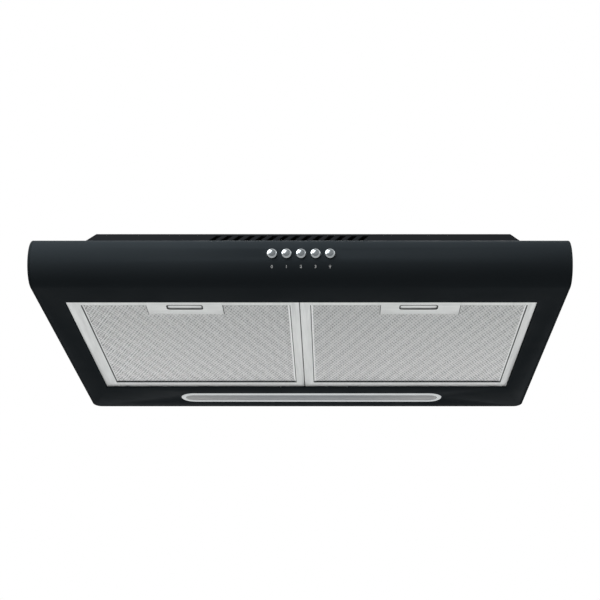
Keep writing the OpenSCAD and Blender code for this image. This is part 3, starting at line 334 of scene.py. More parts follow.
@dataclass(frozen=True)
class ExpandedMetal(Finish):
    """Slit and stretched aluminium foil whose colour carries painted light: a painted glint on one leg and painted
    shade on the next, as the legs tilt two ways.
    """

    # Colour of the painted shade on the dim legs.
    shade: str = "#d2d5d5"
    # Colour of the painted shade at the front, which fades towards the rear.
    dull: str = "#e6e7e6"
    across_mm: float = 4.6
    along_mm: float = 11.0
    uneven_mm: float = 1.25
    uneven: float = 0.6
    least_shade: float = -0.6
    most_shade: float = 0.82
    front_mm: float = -214.0
    rear_mm: float = 80.0

    def pattern(self, tree: Tree, shader: Node, place: Socket) -> None:
        """Add a painted glint and painted shade on the legs, drawn a quarter coarser than the strands, and painted
        shade that darkens the front.

        Args:
            tree: Node tree of the material.
            shader: Its Principled shader.
            place: Object coordinates, in metres.
        """
        axes = add_node(tree, "ShaderNodeSeparateXYZ", {"Vector": place}).outputs
        waves = []
        for axis, pitch_mm in (("X", self.across_mm), ("Y", self.along_mm)):
            turn = add_node(tree, "ShaderNodeMath", {0: axes[axis], 1: math.tau / (pitch_mm * MM)},
                            operation="MULTIPLY").outputs["Value"]
            waves.append(add_node(tree, "ShaderNodeMath", {0: turn}, operation="SINE").outputs["Value"])
        # The product of the waves paints a glint on one leg and shade on the next.
        legs = add_node(tree, "ShaderNodeMath", {0: waves[0], 1: waves[1]}, operation="MULTIPLY").outputs["Value"]
        uneven = self.mottle(tree, place, self.uneven_mm, -self.uneven, self.uneven, 0.0)
        both = add_node(tree, "ShaderNodeMath", {0: legs, 1: uneven}, operation="ADD").outputs["Value"]
        painted_glint = add_node(tree, "ShaderNodeMapRange", {
            "Value": both, "From Min": -1.0, "From Max": 1.0, "To Min": self.least_shade, "To Max": self.most_shade,
        }).outputs["Result"]
        # Painted shade: the sheet grows darker towards the front.
        front = add_node(tree, "ShaderNodeMapRange", {
            "Value": axes["Y"], "From Min": self.rear_mm * MM, "From Max": self.front_mm * MM,
        }).outputs["Result"]
        base = add_node(tree, "ShaderNodeMix", {0: front, 6: linear(self.colour), 7: linear(self.dull)},
                        data_type="RGBA")
        mix = add_node(tree, "ShaderNodeMix", {0: painted_glint, 6: base.outputs[2], 7: linear(self.shade)},
                       data_type="RGBA")
        tree.links.new(mix.outputs[2], shader.inputs["Base Color"])


@dataclass(frozen=True)
class FrostedLens(Finish):
    """Moulded polycarbonate with a frosted skin, and painted light that makes it lighter towards its ends."""

    # Colour towards the ends; on the lens it is lighter, as painted light.
    shade: str = "#c6cac8"
    middle_mm: float = 6.0
    half_length_mm: float = 170.0
    even_share: float = 0.35
    line_mm: float = 1.4
    line_ratio: float = 50.0
    line_strength: float = 0.15
    line_depth_mm: float = 0.03

    def pattern(self, tree: Tree, shader: Node, place: Socket) -> None:
        """Add painted light on the lighter ends, and the mould's lines along the lens, drawn coarser than their real
        0.3 mm.

        Args:
            tree: Node tree of the material.
            shader: Its Principled shader.
            place: Object coordinates, in metres.
        """
        x = add_node(tree, "ShaderNodeSeparateXYZ", {"Vector": place}).outputs["X"]
        off = add_node(tree, "ShaderNodeMath", {0: x, 1: self.middle_mm * MM}, operation="SUBTRACT").outputs["Value"]
        far = add_node(tree, "ShaderNodeMath", {0: off}, operation="ABSOLUTE").outputs["Value"]
        # Painted light: the lighter colour takes over towards the ends.
        share = add_node(tree, "ShaderNodeMapRange", {
            "Value": far, "From Min": self.even_share * self.half_length_mm * MM,
            "From Max": self.half_length_mm * MM,
        }).outputs["Result"]
        self.tint(tree, shader, share, self.shade)
        drawn = add_node(tree, "ShaderNodeMapping",
                         {"Vector": place, "Scale": (1.0 / self.line_ratio, 1.0, 1.0)}).outputs["Vector"]
        lines = self.mottle(tree, drawn, self.line_mm, 0.0, 1.0)
        self.relief(tree, shader, lines, self.line_strength, self.line_depth_mm)


@dataclass(frozen=True)
class GalvanisedSteel(Finish):
    """Hot-dip zinc with its frost of crystals."""

    shade: str = "#9fa4a8"
    crystal_mm: float = 9.0
    gloss_step: float = 0.1

    def pattern(self, tree: Tree, shader: Node, place: Socket) -> None:
        """Add zinc crystals that differ in shade and gloss.

        Args:
            tree: Node tree of the material.
            shader: Its Principled shader.
            place: Object coordinates, in metres.
        """
        cells = add_node(tree, "ShaderNodeTexVoronoi", {"Vector": place, "Scale": 1000 / self.crystal_mm})
        shade = add_node(tree, "ShaderNodeSeparateColor", {"Color": cells.outputs["Color"]}).outputs["Red"]
        self.tint(tree, shader, shade, self.shade)
        gloss = add_node(tree, "ShaderNodeMapRange", {
            "Value": shade, "To Min": self.roughness - self.gloss_step, "To Max": self.roughness + self.gloss_step,
        })
        tree.links.new(gloss.outputs["Result"], shader.inputs["Roughness"])


@dataclass(frozen=True)
class SmoothSkin(Finish):
    """A smooth surface: chrome, varnish, ink or hard plastic, with faint handling marks."""

    shade: str = "#c4c8c9"
    smear: float = 0.03
    smear_mm: float = 6.0
    shade_mm: float = 18.0
    most_shade: float = 0.6

    def pattern(self, tree: Tree, shader: Node, place: Socket) -> None:
        """Add the faint unevenness of a handled surface, in gloss and shade.

        Args:
            tree: Node tree of the material.
            shader: Its Principled shader.
            place: Object coordinates, in metres.
        """
        gloss = self.mottle(tree, place, self.smear_mm, self.roughness, self.roughness + self.smear, 3.0)
        tree.links.new(gloss, shader.inputs["Roughness"])
        self.tint(tree, shader, self.mottle(tree, place, self.shade_mm, 0.0, self.most_shade), self.shade)


# Satin blue-black powder paint: a soft sheen rolls over the nose, with no sharp reflection.
VISOR_PAINT = PowderCoat("powder_coated_steel_satin", "#343a3e", 0.5, specular=0.003, haze="#373d41")
# Dull black powder paint: the raised housing stays flat and even beside the visor.
HOUSING_PAINT = PowderCoat("powder_coated_steel_dull", "#25272a", 0.6, specular=0.0, haze="#282a2c")
# Black ABS, moulded and grained to match the paint, so that the end caps barely stand out.
CAP_ABS = MouldedPlastic("moulded_abs_black", "#32383b", 0.5, specular=0.003, shade="#353b3e")
# Rolled aluminium strip: pale silver with fine lines from front to back.
FRAME_ALUMINIUM = BrushedMetal("rolled_aluminium_frame", "#e9ebea", 0.42, 1.0, shade="#dee1e0")
# Expanded aluminium foil: light grey, with a painted glint on bright legs, painted shade on dim legs and painted shade
# at the front.
SHEET_ALUMINIUM = ExpandedMetal("expanded_aluminium_sheet", "#ffffff", 0.4, 1.0, shade="#7e8282")
# Folded aluminium foil behind the sheets: a slightly darker silver that gives the filter depth.
FOLDED_ALUMINIUM = BrushedMetal("folded_aluminium_core", "#dde1e2", 0.5, 1.0, shade="#c6cacc")
# Unslit margin of the expanded sheet: a thin bright line around the window.
SHEET_MARGIN = SmoothSkin("rolled_aluminium_margin", "#fafbfb", 0.3, 1.0, shade="#f2f4f3")
# Dark aluminium as painted shadow: it fills the gaps beside the plates and around the windows as a thin dark outline,
# and also colours the hooks.
PAINTED_GAP_SHADE = BrushedMetal("sheared_aluminium_edge", "#4a4e4f", 0.6, 1.0, shade="#2f3233", way=Way.ACROSS)
# Brushed steel of the latch plates: a calm pale patch in the sparkling sheet.
LATCH_STEEL = BrushedMetal("brushed_steel_latch", "#e3e5e4", 0.38, 1.0, shade="#d8dbda", way=Way.ACROSS)
# Dark grey ABS as painted shadow: a matt dark ring stands in for the shade of the gap around each grip.
PAINTED_SHADOW_RING_ABS = MouldedPlastic("moulded_abs_grey_bezel", "#3b3e3f", 0.5, specular=0.1, shade="#434647")
# Polished chrome of the lamp rim: a bright line that mirrors the pale surroundings.
CHROME = SmoothSkin("polished_chrome", "#d0d4d5", 0.1, 1.0, shade="#c6cacb")
# Satin chrome of the button rims: a small soft highlight on each.
BUTTON_CHROME = SmoothSkin("satin_chrome_button", "#a9aeb0", 0.14, 1.0, shade="#969b9e")
# Chrome of the button faces, darkened as a painted reflection: a darker middle inside the bright rim.
BUTTON_PAINTED_DARK_REFLECTION = SmoothSkin("smoked_chrome_disc", "#7b8083", 0.2, 1.0, shade="#6b7073")
# Ground steel of slides, shafts and pins: bright with a blurred reflection.
SATIN_STEEL = SmoothSkin("satin_steel_slide", "#eaeceb", 0.34, 1.0, shade="#dcdfde")
# Frosted polycarbonate of the lens: milky grey while the lamp is off, with painted light that lightens its ends.
LENS_PC = FrostedLens("frosted_polycarbonate", "#dde3e8", 0.4, shade="#fbfdfd", specular=0.5)
# Hot-dip galvanised steel of scroll, outlet box and lamp tray: mottled blue-grey crystals.
ZINC = GalvanisedSteel("galvanised_steel", "#b7bbbf", 0.42, 1.0)
# Zinc-plated wire and screws: small cold glints.
SCREW_STEEL = SmoothSkin("zinc_plated_screw", "#b9bdc0", 0.28, 1.0, shade="#9fa3a6")
# Blackened screws of the shell: dark heads with a faint metal sheen.
BLACK_SCREW = SmoothSkin("black_oxide_screw", "#2a2d2f", 0.4, 1.0, shade="#222527")
# Jet black polypropylene of the shutter: the slots look deep.
SHUTTER_PP = MouldedPlastic("moulded_polypropylene_jet", "#0b0c0c", 0.7, specular=0.01, shade="#0e0f0f")
# Black polypropylene of collar, inlet ring and switches: matt, with a soft grain.
BLACK_PP = MouldedPlastic("moulded_polypropylene_black", "#26282a", 0.5, specular=0.25, shade="#2d2f31")
# Grey polypropylene of flaps, boxes and driver: plain mid grey that stands out from the black.
GREY_PP = MouldedPlastic("moulded_polypropylene_grey", "#8b9092", 0.5, shade="#979c9e")
# Charcoal polypropylene of the impeller: dark, with a little more gloss on its blades.
FAN_PP = MouldedPlastic("moulded_polypropylene_fan", "#3a3d40", 0.48, specular=0.35, shade="#44474a")
# Varnished motor shell: dark with a soft oily gloss.
MOTOR_VARNISH = PowderCoat("varnished_motor_shell", "#34373a", 0.4, specular=0.3, haze="#3e4144")
# Off-white PBT of the capacitor's can: a small warm light spot in the housing.
CAPACITOR_PBT = MouldedPlastic("moulded_pbt_white", "#d9dad4", 0.45, shade="#cfd0c9")
# White solder mask of the lamp's board: a flat, slightly green white.
BOARD_MASK = SmoothSkin("white_solder_mask", "#e3e6e0", 0.4, shade="#d8dbd5")
# Phosphor of the diodes: small yellow squares on the white board.
PHOSPHOR = SmoothSkin("led_phosphor", "#e9d96f", 0.4, shade="#dfcd5c")
# PVC sleeves of the wires: dark grey with a dull shine along each wire.
WIRE_PVC = SmoothSkin("pvc_wire_sleeve", "#2e3032", 0.4, shade="#3a3c3e", specular=0.35)
# Printed white ink of the marks: thin, matt and slightly grey.
INK = SmoothSkin("printed_white_ink", "#e8eaea", 0.55, shade="#dfe1e1", specular=0.2)

BUTTONS = ("off", "low", "medium", "high", "lamp")

CAD_FINISHES: dict[str, Finish] = {
    "visor_shell": VISOR_PAINT, "deck_panel": VISOR_PAINT, "housing_front": HOUSING_PAINT,
    "housing_cover": HOUSING_PAINT, "back_panel": HOUSING_PAINT, "left_end_cap": CAP_ABS,
    "right_end_cap": CAP_ABS, "shell_screws": BLACK_SCREW, "vent_shutter": SHUTTER_PP,
    "lamp_rim": CHROME, "lamp_lens": LENS_PC, "lamp_tray": ZINC, "led_board": BOARD_MASK,
    "led_chips": PHOSPHOR, "led_driver": GREY_PP, "switch_bank": BLACK_PP, "switch_bracket": ZINC,
    "left_filter_frame": FRAME_ALUMINIUM, "right_filter_frame": FRAME_ALUMINIUM,
    "left_filter_mesh": SHEET_ALUMINIUM, "right_filter_mesh": SHEET_ALUMINIUM,
    "left_filter_core": FOLDED_ALUMINIUM, "right_filter_core": FOLDED_ALUMINIUM,
    "left_latch_plate": LATCH_STEEL, "right_latch_plate": LATCH_STEEL,
    "left_latch_slider": SATIN_STEEL, "right_latch_slider": SATIN_STEEL,
    "scroll_housing": ZINC, "scroll_floor": ZINC, "inlet_ring": BLACK_PP, "inlet_guard": SCREW_STEEL,
    "impeller": FAN_PP, "impeller_nut": SCREW_STEEL, "motor_shaft": SATIN_STEEL,
    "fan_motor": MOTOR_VARNISH, "motor_bearings": SATIN_STEEL, "motor_screws": SCREW_STEEL,
    "capacitor": CAPACITOR_PBT, "outlet_box": ZINC, "duct_collar": BLACK_PP,
    "left_damper_flap": GREY_PP, "right_damper_flap": GREY_PP, "damper_pin": SATIN_STEEL,
    "terminal_box": GREY_PP, "terminal_lid": GREY_PP, "cable_gland": BLACK_PP,
    "wiring_harness": WIRE_PVC,
    **{f"button_{name}_cap": BUTTON_CHROME for name in BUTTONS},
    **{f"button_{name}_plunger": BLACK_PP for name in BUTTONS},
}

# Radius of the edges, in millimetres, of each solid that keeps its form.
EDGE_RADII: dict[str, float] = {
    "visor_shell": 0.35, "deck_panel": 0.25, "housing_front": 0.25, "housing_cover": 0.35, "back_panel": 0.25,
    "vent_shutter": 0.2, "duct_collar": 0.5, "terminal_box": 0.6, "terminal_lid": 0.6, "cable_gland": 0.4,
    "led_driver": 0.8, "capacitor": 0.6, "switch_bank": 0.3, "fan_motor": 0.6, "inlet_ring": 0.4,
    "outlet_box": 0.25, "scroll_housing": 0.25, "scroll_floor": 0.25, "left_damper_flap": 0.2,
    "right_damper_flap": 0.2, "lamp_tray": 0.25, "switch_bracket": 0.25, "impeller_nut": 0.3,
}


def dress(piece: bpy.types.Object, finish: Finish) -> None:
    """Give every material slot of a piece one finish.

    Args:
        piece: The piece or CAD node.
        finish: Its finish.
    """
    material = finish.material()
    if not piece.material_slots:
        piece.data.materials.append(material)
    for slot in piece.material_slots:
        slot.material = material


# ---- Modelling, in millimetres of the model's frame ----


@dataclass(frozen=True)
class Extent:
    """Box of a CAD node, in millimetres."""

    low: Vector
    high: Vector

    @classmethod
    def of(cls, node: str) -> Extent:
        """Return the box of a node."""
        low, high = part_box(node)
        return cls(Vector(low) / MM, Vector(high) / MM)

    @property
    def centre(self) -> Vector:
        """Middle of the box."""
        return (self.low + self.high) / 2

    @property
    def size(self) -> Vector:
        """Its three sides."""
        return self.high - self.low


class Part(Enum):
    """What an edit picks."""

    POINTS = "VERT"
    EDGES = "EDGE"
    FACES = "FACE"

    def all_in(self, mesh: bmesh.types.BMesh) -> list[tuple[Any, Vector, Vector]]:
        """List all parts of this kind.

        Args:
            mesh: The mesh that is being edited.

        Returns:
            Each part with its middle in metres, and its normal or, for an edge, its direction.
        """
        if self is Part.POINTS:
            return [(point, point.co, point.normal) for point in mesh.verts]
        if self is Part.FACES:
            return [(face, face.calc_center_median(), face.normal) for face in mesh.faces]
        ends = [(edge, edge.verts[0].co, edge.verts[1].co) for edge in mesh.edges]
        return [(edge, (start + end) / 2, (end - start).normalized()) for edge, start, end in ends]


def deselect() -> None:
    """Leave edit mode and deselect everything."""
    if bpy.context.object and bpy.context.object.mode != "OBJECT":
        bpy.ops.object.mode_set(mode="OBJECT")
    bpy.ops.object.select_all(action="DESELECT")


class Piece:
    """A new piece of the hood while it is being modelled. Its methods take millimetres and return the piece."""

    def __init__(self, obj: bpy.types.Object, name: str) -> None:
        """Take over a new object.

        Args:
            obj: The object.
            name: Name of the piece.
        """
        self.obj = obj
        self.rename(name).settle()

    @classmethod
    def block(cls, name: str, low: Place, high: Place) -> Piece:
        """Start from a block.

        Args:
            name: Name of the piece.
            low: Its lowest corner.
            high: Its highest corner.

        Returns:
            The piece.
        """
        deselect()
        middle = [(a + b) / 2 * MM for a, b in zip(low, high)]
        sides = [(b - a) * MM for a, b in zip(low, high)]
        bpy.ops.mesh.primitive_cube_add(size=1, location=middle, scale=sides)
        return cls(bpy.context.object, name)

    @classmethod
    def rod(cls, name: str, start: Place, end: Place, radius: float, sides: int) -> Piece:
        """Start from a round rod.

        Args:
            name: Name of the piece.
            start: Middle of one end.
            end: Middle of the other end.
            radius: Its radius.
            sides: Number of points around it.

        Returns:
            The piece.
        """
        deselect()
        run = Vector(end) - Vector(start)
        turn = run.to_track_quat("Z", "Y").to_euler()
        bpy.ops.mesh.primitive_cylinder_add(
            vertices=sides, radius=radius * MM, depth=run.length * MM,
            location=(Vector(start) + Vector(end)) / 2 * MM, rotation=turn)
        return cls(bpy.context.object, name)

    @classmethod
    def pill(cls, name: str, middle: Place, length: float, width: float, z0: float, z1: float, sides: int) -> Piece:
        """Start from a plate with round ends, long across the hood.

        Args:
            name: Name of the piece.
            middle: X and Y of its middle.
            length: Overall length.
            width: Overall width.
            z0: Lower face.
            z1: Upper face.
            sides: Number of points around it.

        Returns:
            The piece.
        """
        deselect()
        bpy.ops.mesh.primitive_cylinder_add(
            vertices=sides, radius=width / 2 * MM, depth=(z1 - z0) * MM, rotation=(0, 0, math.pi / sides),
            location=(middle[0] * MM, middle[1] * MM, (z0 + z1) / 2 * MM))
        return cls(bpy.context.object, name).stretch(middle[0], length - width)

    @classmethod
    def tablet(cls, name: str, low: Place, high: Place, corner: float) -> Piece:
        """Start from a block whose four upright edges are rounded.

        Args:
            name: Name of the piece.
            low: Its lowest corner.
            high: Its highest corner.
            corner: Radius of the upright edges.

        Returns:
            The piece.
        """
        tablet = cls.block(name, low, high)
        tablet.pick(Part.EDGES, lambda p, _: abs(p.z - (low[2] + high[2]) / 2) < TOUCH)
        bpy.ops.mesh.bevel(offset=corner * MM, segments=6, affect="EDGES", clamp_overlap=True)
        return tablet.settle()

    @classmethod
    def turned(cls, name: str, profile: Sequence[tuple[float, float]], steps: int) -> Piece:
        """Turn a profile about the vertical axis through the origin, as on a lathe.

        Args:
            name: Name of the piece.
            profile: Radius and height of each corner; it starts and ends on the axis, or closes on itself.
            steps: Number of steps around.

        Returns:
            The piece.
        """
        deselect()
        bpy.ops.mesh.primitive_plane_add(size=MM)
        piece = cls(bpy.context.object, name)
        piece.edit()
        bpy.ops.mesh.select_mode(type="VERT")
        bpy.ops.mesh.select_all(action="SELECT")
        bpy.ops.mesh.merge(type="CENTER")
        here = Vector((0.0, 0.0, 0.0))
        for index, (radius, height) in enumerate(profile):
            there = Vector((radius, 0.0, height)) * MM
            if index:
                bpy.ops.mesh.extrude_vertices_move(TRANSFORM_OT_translate={"value": there - here})
            else:
                bpy.ops.transform.translate(value=there)
            here = there
        bpy.ops.mesh.select_all(action="SELECT")
        bpy.ops.transform.rotate(value=-math.pi / steps, orient_axis="Z", center_override=(0, 0, 0))
        bpy.ops.mesh.spin(steps=steps, angle=2 * math.pi, center=(0, 0, 0), axis=(0, 0, 1))
        return piece.merge().outward()

    def rename(self, name: str) -> Piece:
        """Give the object and its mesh one name."""
        self.obj.name = self.obj.data.name = name
        return self

    def activate(self) -> Piece:
        """Select this piece alone, in object mode.

        Returns:
            This piece.
        """
        deselect()
        self.obj.select_set(True)
        bpy.context.view_layer.objects.active = self.obj
        return self

    def edit(self) -> Piece:
        """Open this piece for editing.

        Returns:
            This piece, in edit mode.
        """
        self.activate()
        bpy.ops.object.mode_set(mode="EDIT")
        return self

    def settle(self) -> Piece:
        """Put its place, turn and size into its mesh.

        Returns:
            This piece, at the origin.
        """
        self.activate()
        bpy.ops.object.transform_apply(location=True, rotation=True, scale=True)
        return self

    def place(self, at: Vector, turn: Matrix) -> Piece:
        """Turn the piece about the origin, move it and settle it there.

        Args:
            at: Where its origin goes.
            turn: How it is turned.

        Returns:
            This piece.
        """
        self.obj.matrix_world = Matrix.Translation(at * MM) @ turn
        return self.settle()

    def stand(self, at: Place, facing: Place = (0, 0, 1)) -> Piece:
        """Turn the piece's vertical axis to a direction and move its origin to a place.

        Args:
            at: Where its origin goes.
            facing: Direction of its axis.

        Returns:
            This piece.
        """
        turn = Vector((0, 0, 1)).rotation_difference(Vector(facing)).to_matrix().to_4x4()
        return self.place(Vector(at), turn)

    def pick(self, kind: Part, test: Test, open_only: bool = False) -> Piece:
        """Select parts by where they are and which way they face.

        Args:
            kind: Points, edges or faces.
            test: Takes the middle in millimetres, and the normal or, for an edge, its direction.
            open_only: Whether only edges with one face count.

        Returns:
            This piece, in edit mode.
        """
        self.edit()
        bpy.ops.mesh.select_mode(type=kind.value)
        bpy.ops.mesh.select_all(action="DESELECT")
        mesh = bmesh.from_edit_mesh(self.obj.data)
        for part, place, facing in kind.all_in(mesh):
            if (not open_only or part.is_boundary) and test(place / MM, facing):
                part.select_set(True)
        mesh.select_flush_mode()
        bmesh.update_edit_mesh(self.obj.data)
        return self

    def rim(self, test: Test) -> Piece:
        """Select the open edges whose middle passes a test."""
        return self.pick(Part.EDGES, test, open_only=True)

    def move(self, offset: Place) -> Piece:
        """Move what is selected."""
        bpy.ops.transform.translate(value=Vector(offset) * MM)
        return self

    def resize(self, scale: Place, about: Place) -> Piece:
        """Resize what is selected about a place."""
        bpy.ops.transform.resize(value=scale, center_override=[part * MM for part in about])
        return self

    def extrude(self, offset: Place) -> Piece:
        """Extrude the selected faces or edges."""
        bpy.ops.mesh.extrude_region_move(TRANSFORM_OT_translate={"value": Vector(offset) * MM})
        return self

    def inset(self, width: float) -> Piece:
        """Inset the selected faces."""
        bpy.ops.mesh.inset(thickness=width * MM)
        return self

    def bisect(self, y: float, keep_rear: bool) -> Piece:
        """Cut the selected faces along a plane across the depth.

        Args:
            y: Where the plane stands.
            keep_rear: Whether what lies behind it stays.

        Returns:
            This piece, in edit mode.
        """
        bpy.ops.mesh.bisect(plane_co=(0, y * MM, 0), plane_no=(0, 1, 0), clear_outer=not keep_rear)
        return self

    def fit(self, low: Place, high: Place) -> Piece:
        """Stretch and move the selected level face so that it fills a rectangle in plan.

        Args:
            low: Front left corner of the rectangle.
            high: Its rear right corner.

        Returns:
            This piece, in edit mode.
        """
        mesh = bmesh.from_edit_mesh(self.obj.data)
        points = [point.co / MM for point in mesh.verts if point.select]
        near = [min(point[i] for point in points) for i in (0, 1)]
        far = [max(point[i] for point in points) for i in (0, 1)]
        middle = [(near[i] + far[i]) / 2 for i in (0, 1)]
        grow = [(high[i] - low[i]) / (far[i] - near[i]) for i in (0, 1)]
        self.resize((*grow, 1.0), (*middle, 0.0))
        return self.move([(low[i] + high[i]) / 2 - middle[i] for i in (0, 1)] + [0.0])

    def delete(self, kind: Part) -> Piece:
        """Delete what is selected."""
        bpy.ops.mesh.delete(type=kind.value)
        return self

    def merge(self, distance: float = 0.001) -> Piece:
        """Merge points that lie on each other.

        Args:
            distance: How far apart they may lie.

        Returns:
            This piece, in edit mode.
        """
        self.edit()
        bpy.ops.mesh.select_all(action="SELECT")
        bpy.ops.mesh.remove_doubles(threshold=distance * MM)
        return self

    def outward(self) -> Piece:
        """Turn all faces outwards.

        Returns:
            This piece, in object mode.
        """
        self.edit()
        bpy.ops.mesh.select_all(action="SELECT")
        bpy.ops.mesh.normals_make_consistent(inside=False)
        bpy.ops.object.mode_set(mode="OBJECT")
        return self

    def stretch(self, x: float, length: float) -> Piece:
        """Pull the two halves apart across the hood, which makes a ring or disc a pill.

        Args:
            x: Where the halves meet.
            length: How far they are pulled apart.

        Returns:
            This piece, in object mode.
        """
        for side in (-1, 1):
            self.pick(Part.POINTS, lambda place, _: side * (place.x - x) > 0)
            self.move((side * length / 2, 0, 0))
        bpy.ops.object.mode_set(mode="OBJECT")
        return self

    def modify(self, kind: str, **settings: Any) -> Piece:
        """Add a modifier and apply it.

        Args:
            kind: Type of the modifier.
            **settings: Its properties.

        Returns:
            This piece, in object mode.
        """
        self.activate()
        modifier = self.obj.modifiers.new(kind.lower(), kind)
        for name, value in settings.items():
            setattr(modifier, name, value)
        bpy.ops.object.modifier_apply(modifier=modifier.name)
        return self

    def bevel(self, width: float, segments: int = 2, angle: float = 40.0) -> Piece:
        """Round the sharp edges and shade the rest smooth.

        Args:
            width: Width of the rounding.
            segments: Number of faces across it.
            angle: Degrees beyond which an edge is sharp.

        Returns:
            This piece, in object mode.
        """
        self.modify("BEVEL", width=width * MM, segments=segments, limit_method="ANGLE",
                    angle_limit=math.radians(angle), use_clamp_overlap=True)
        return self.smooth(angle)

    def smooth(self, angle: float) -> Piece:
        """Shade smooth, apart from edges sharper than an angle.

        Args:
            angle: That angle, in degrees.

        Returns:
            This piece, in object mode.
        """
        self.activate()
        bpy.ops.object.shade_smooth_by_angle(angle=math.radians(angle))
        return self

    def cut(self, *tools: Piece) -> Piece:
        """Cut other pieces out of this one and delete them.

        Args:
            *tools: Those pieces.

        Returns:
            This piece, in object mode.
        """
        for tool in tools:
            self.modify("BOOLEAN", object=tool.obj, operation="DIFFERENCE", solver="EXACT")
            bpy.data.objects.remove(tool.obj)
        return self

    def join(self, *others: Piece) -> Piece:
        """Take other pieces into this one.

        Args:
            *others: Those pieces.

        Returns:
            This piece, in object mode.
        """
        self.activate()
        for other in others:
            other.obj.select_set(True)
        bpy.context.view_layer.objects.active = self.obj
        bpy.ops.object.join()
        return self

    def copy(self, name: str, offset: Place) -> Piece:
        """Copy the piece, with its own mesh, to another place.

        Args:
            name: Name of the copy.
            offset: How far it is moved.

        Returns:
            The copy.
        """
        self.activate()
        bpy.ops.object.duplicate(linked=False)
        twin = bpy.context.object
        twin.location = Vector(offset) * MM
        return Piece(twin, name)

    def paint(self, finish: Finish, test: Test) -> Piece:
        """Give the faces that pass a test a finish of their own.

        Args:
            finish: That finish.
            test: Takes a face's middle in millimetres and its normal.

        Returns:
            This piece.
        """
        self.obj.data.materials.append(finish.material())
        number = len(self.obj.data.materials) - 1
        for face in self.obj.data.polygons:
            if test(face.center / MM, face.normal):
                face.material_index = number
        return self

    def done(self, finish: Finish, body: str, *nodes: str, slot: str | None = None) -> bpy.types.Object:
        """Finish the piece, tie it to its body and let it stand for its CAD nodes.

        Args:
            finish: Finish of the faces that have none of their own.
            body: Body that it moves with.
            *nodes: CAD nodes that it stands for.
            slot: Material slot of the record; not used.

        Returns:
            The finished object.
        """
        deselect()
        if not self.obj.data.materials:
            self.obj.data.materials.append(finish.material())
        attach(self.obj, body)
        if nodes:
            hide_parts(*nodes)
        LOG.info("%s: %d faces, on %s", self.obj.name, len(self.obj.data.polygons), body)
        return self.obj


# ---- Sub-assemblies ----


@dataclass
class EndCap:
    """Moulded cap that closes one end of the visor and tray and wraps on to the back."""

    side: int
    wall: float = 3.0
    corner: float = 10.5
    corner_depth: float = 15.0
    back_return: float = 3.0
    edge: float = 2.6
    inner_edge: float = 0.3
    nose_steps: int = 128
    corner_steps: int = 10
    edge_steps: int = 5
    sharp: float = 60.0

    def build(self) -> None:
        """Model the half-round cap, its rear corner and its return."""
        name = "left" if self.side < 0 else "right"
        box = Extent.of(f"{name}_end_cap")
        nose = box.size.z / 2
        outer = box.low.x if self.side < 0 else box.high.x
        inner = outer - self.side * self.wall
        y, z = box.low.y + nose, box.low.z + nose
        corner_x, corner_y = outer - self.side * self.corner, box.high.y - self.corner_depth
        cap = Piece.rod(f"{name}_cap_moulding", (outer, y, z), (inner, y, z), nose, self.nose_steps)
        cap.pick(Part.FACES, lambda *_: True).bisect(y, keep_rear=False)
        cap.rim(lambda *_: True).extrude((0, corner_y - y, 0))
        bpy.ops.mesh.edge_face_add()
        bpy.ops.mesh.spin(steps=self.corner_steps, angle=-self.side * math.pi / 2, axis=(0, 0, 1),
                          center=(corner_x * MM, corner_y * MM, 0))
        cap.extrude((-self.side * self.back_return, 0, 0))
        cap.merge().outward()
        cap.pick(Part.POINTS, lambda p, _: p.y > corner_y + TOUCH)
        cap.resize((1, self.corner_depth / self.corner, 1), (0, corner_y, 0))
        cap.pick(Part.EDGES, lambda p, _: abs(p.x - outer) < TOUCH and p.y < corner_y + PAST)
        bpy.ops.mesh.bevel(offset=self.edge * MM, segments=self.edge_steps, affect="EDGES", clamp_overlap=True)
        bpy.ops.object.mode_set(mode="OBJECT")
        cap.bevel(self.inner_edge, angle=self.sharp)
        cap.done(CAP_ABS, "hood", f"{name}_end_cap", slot="end_plastic")


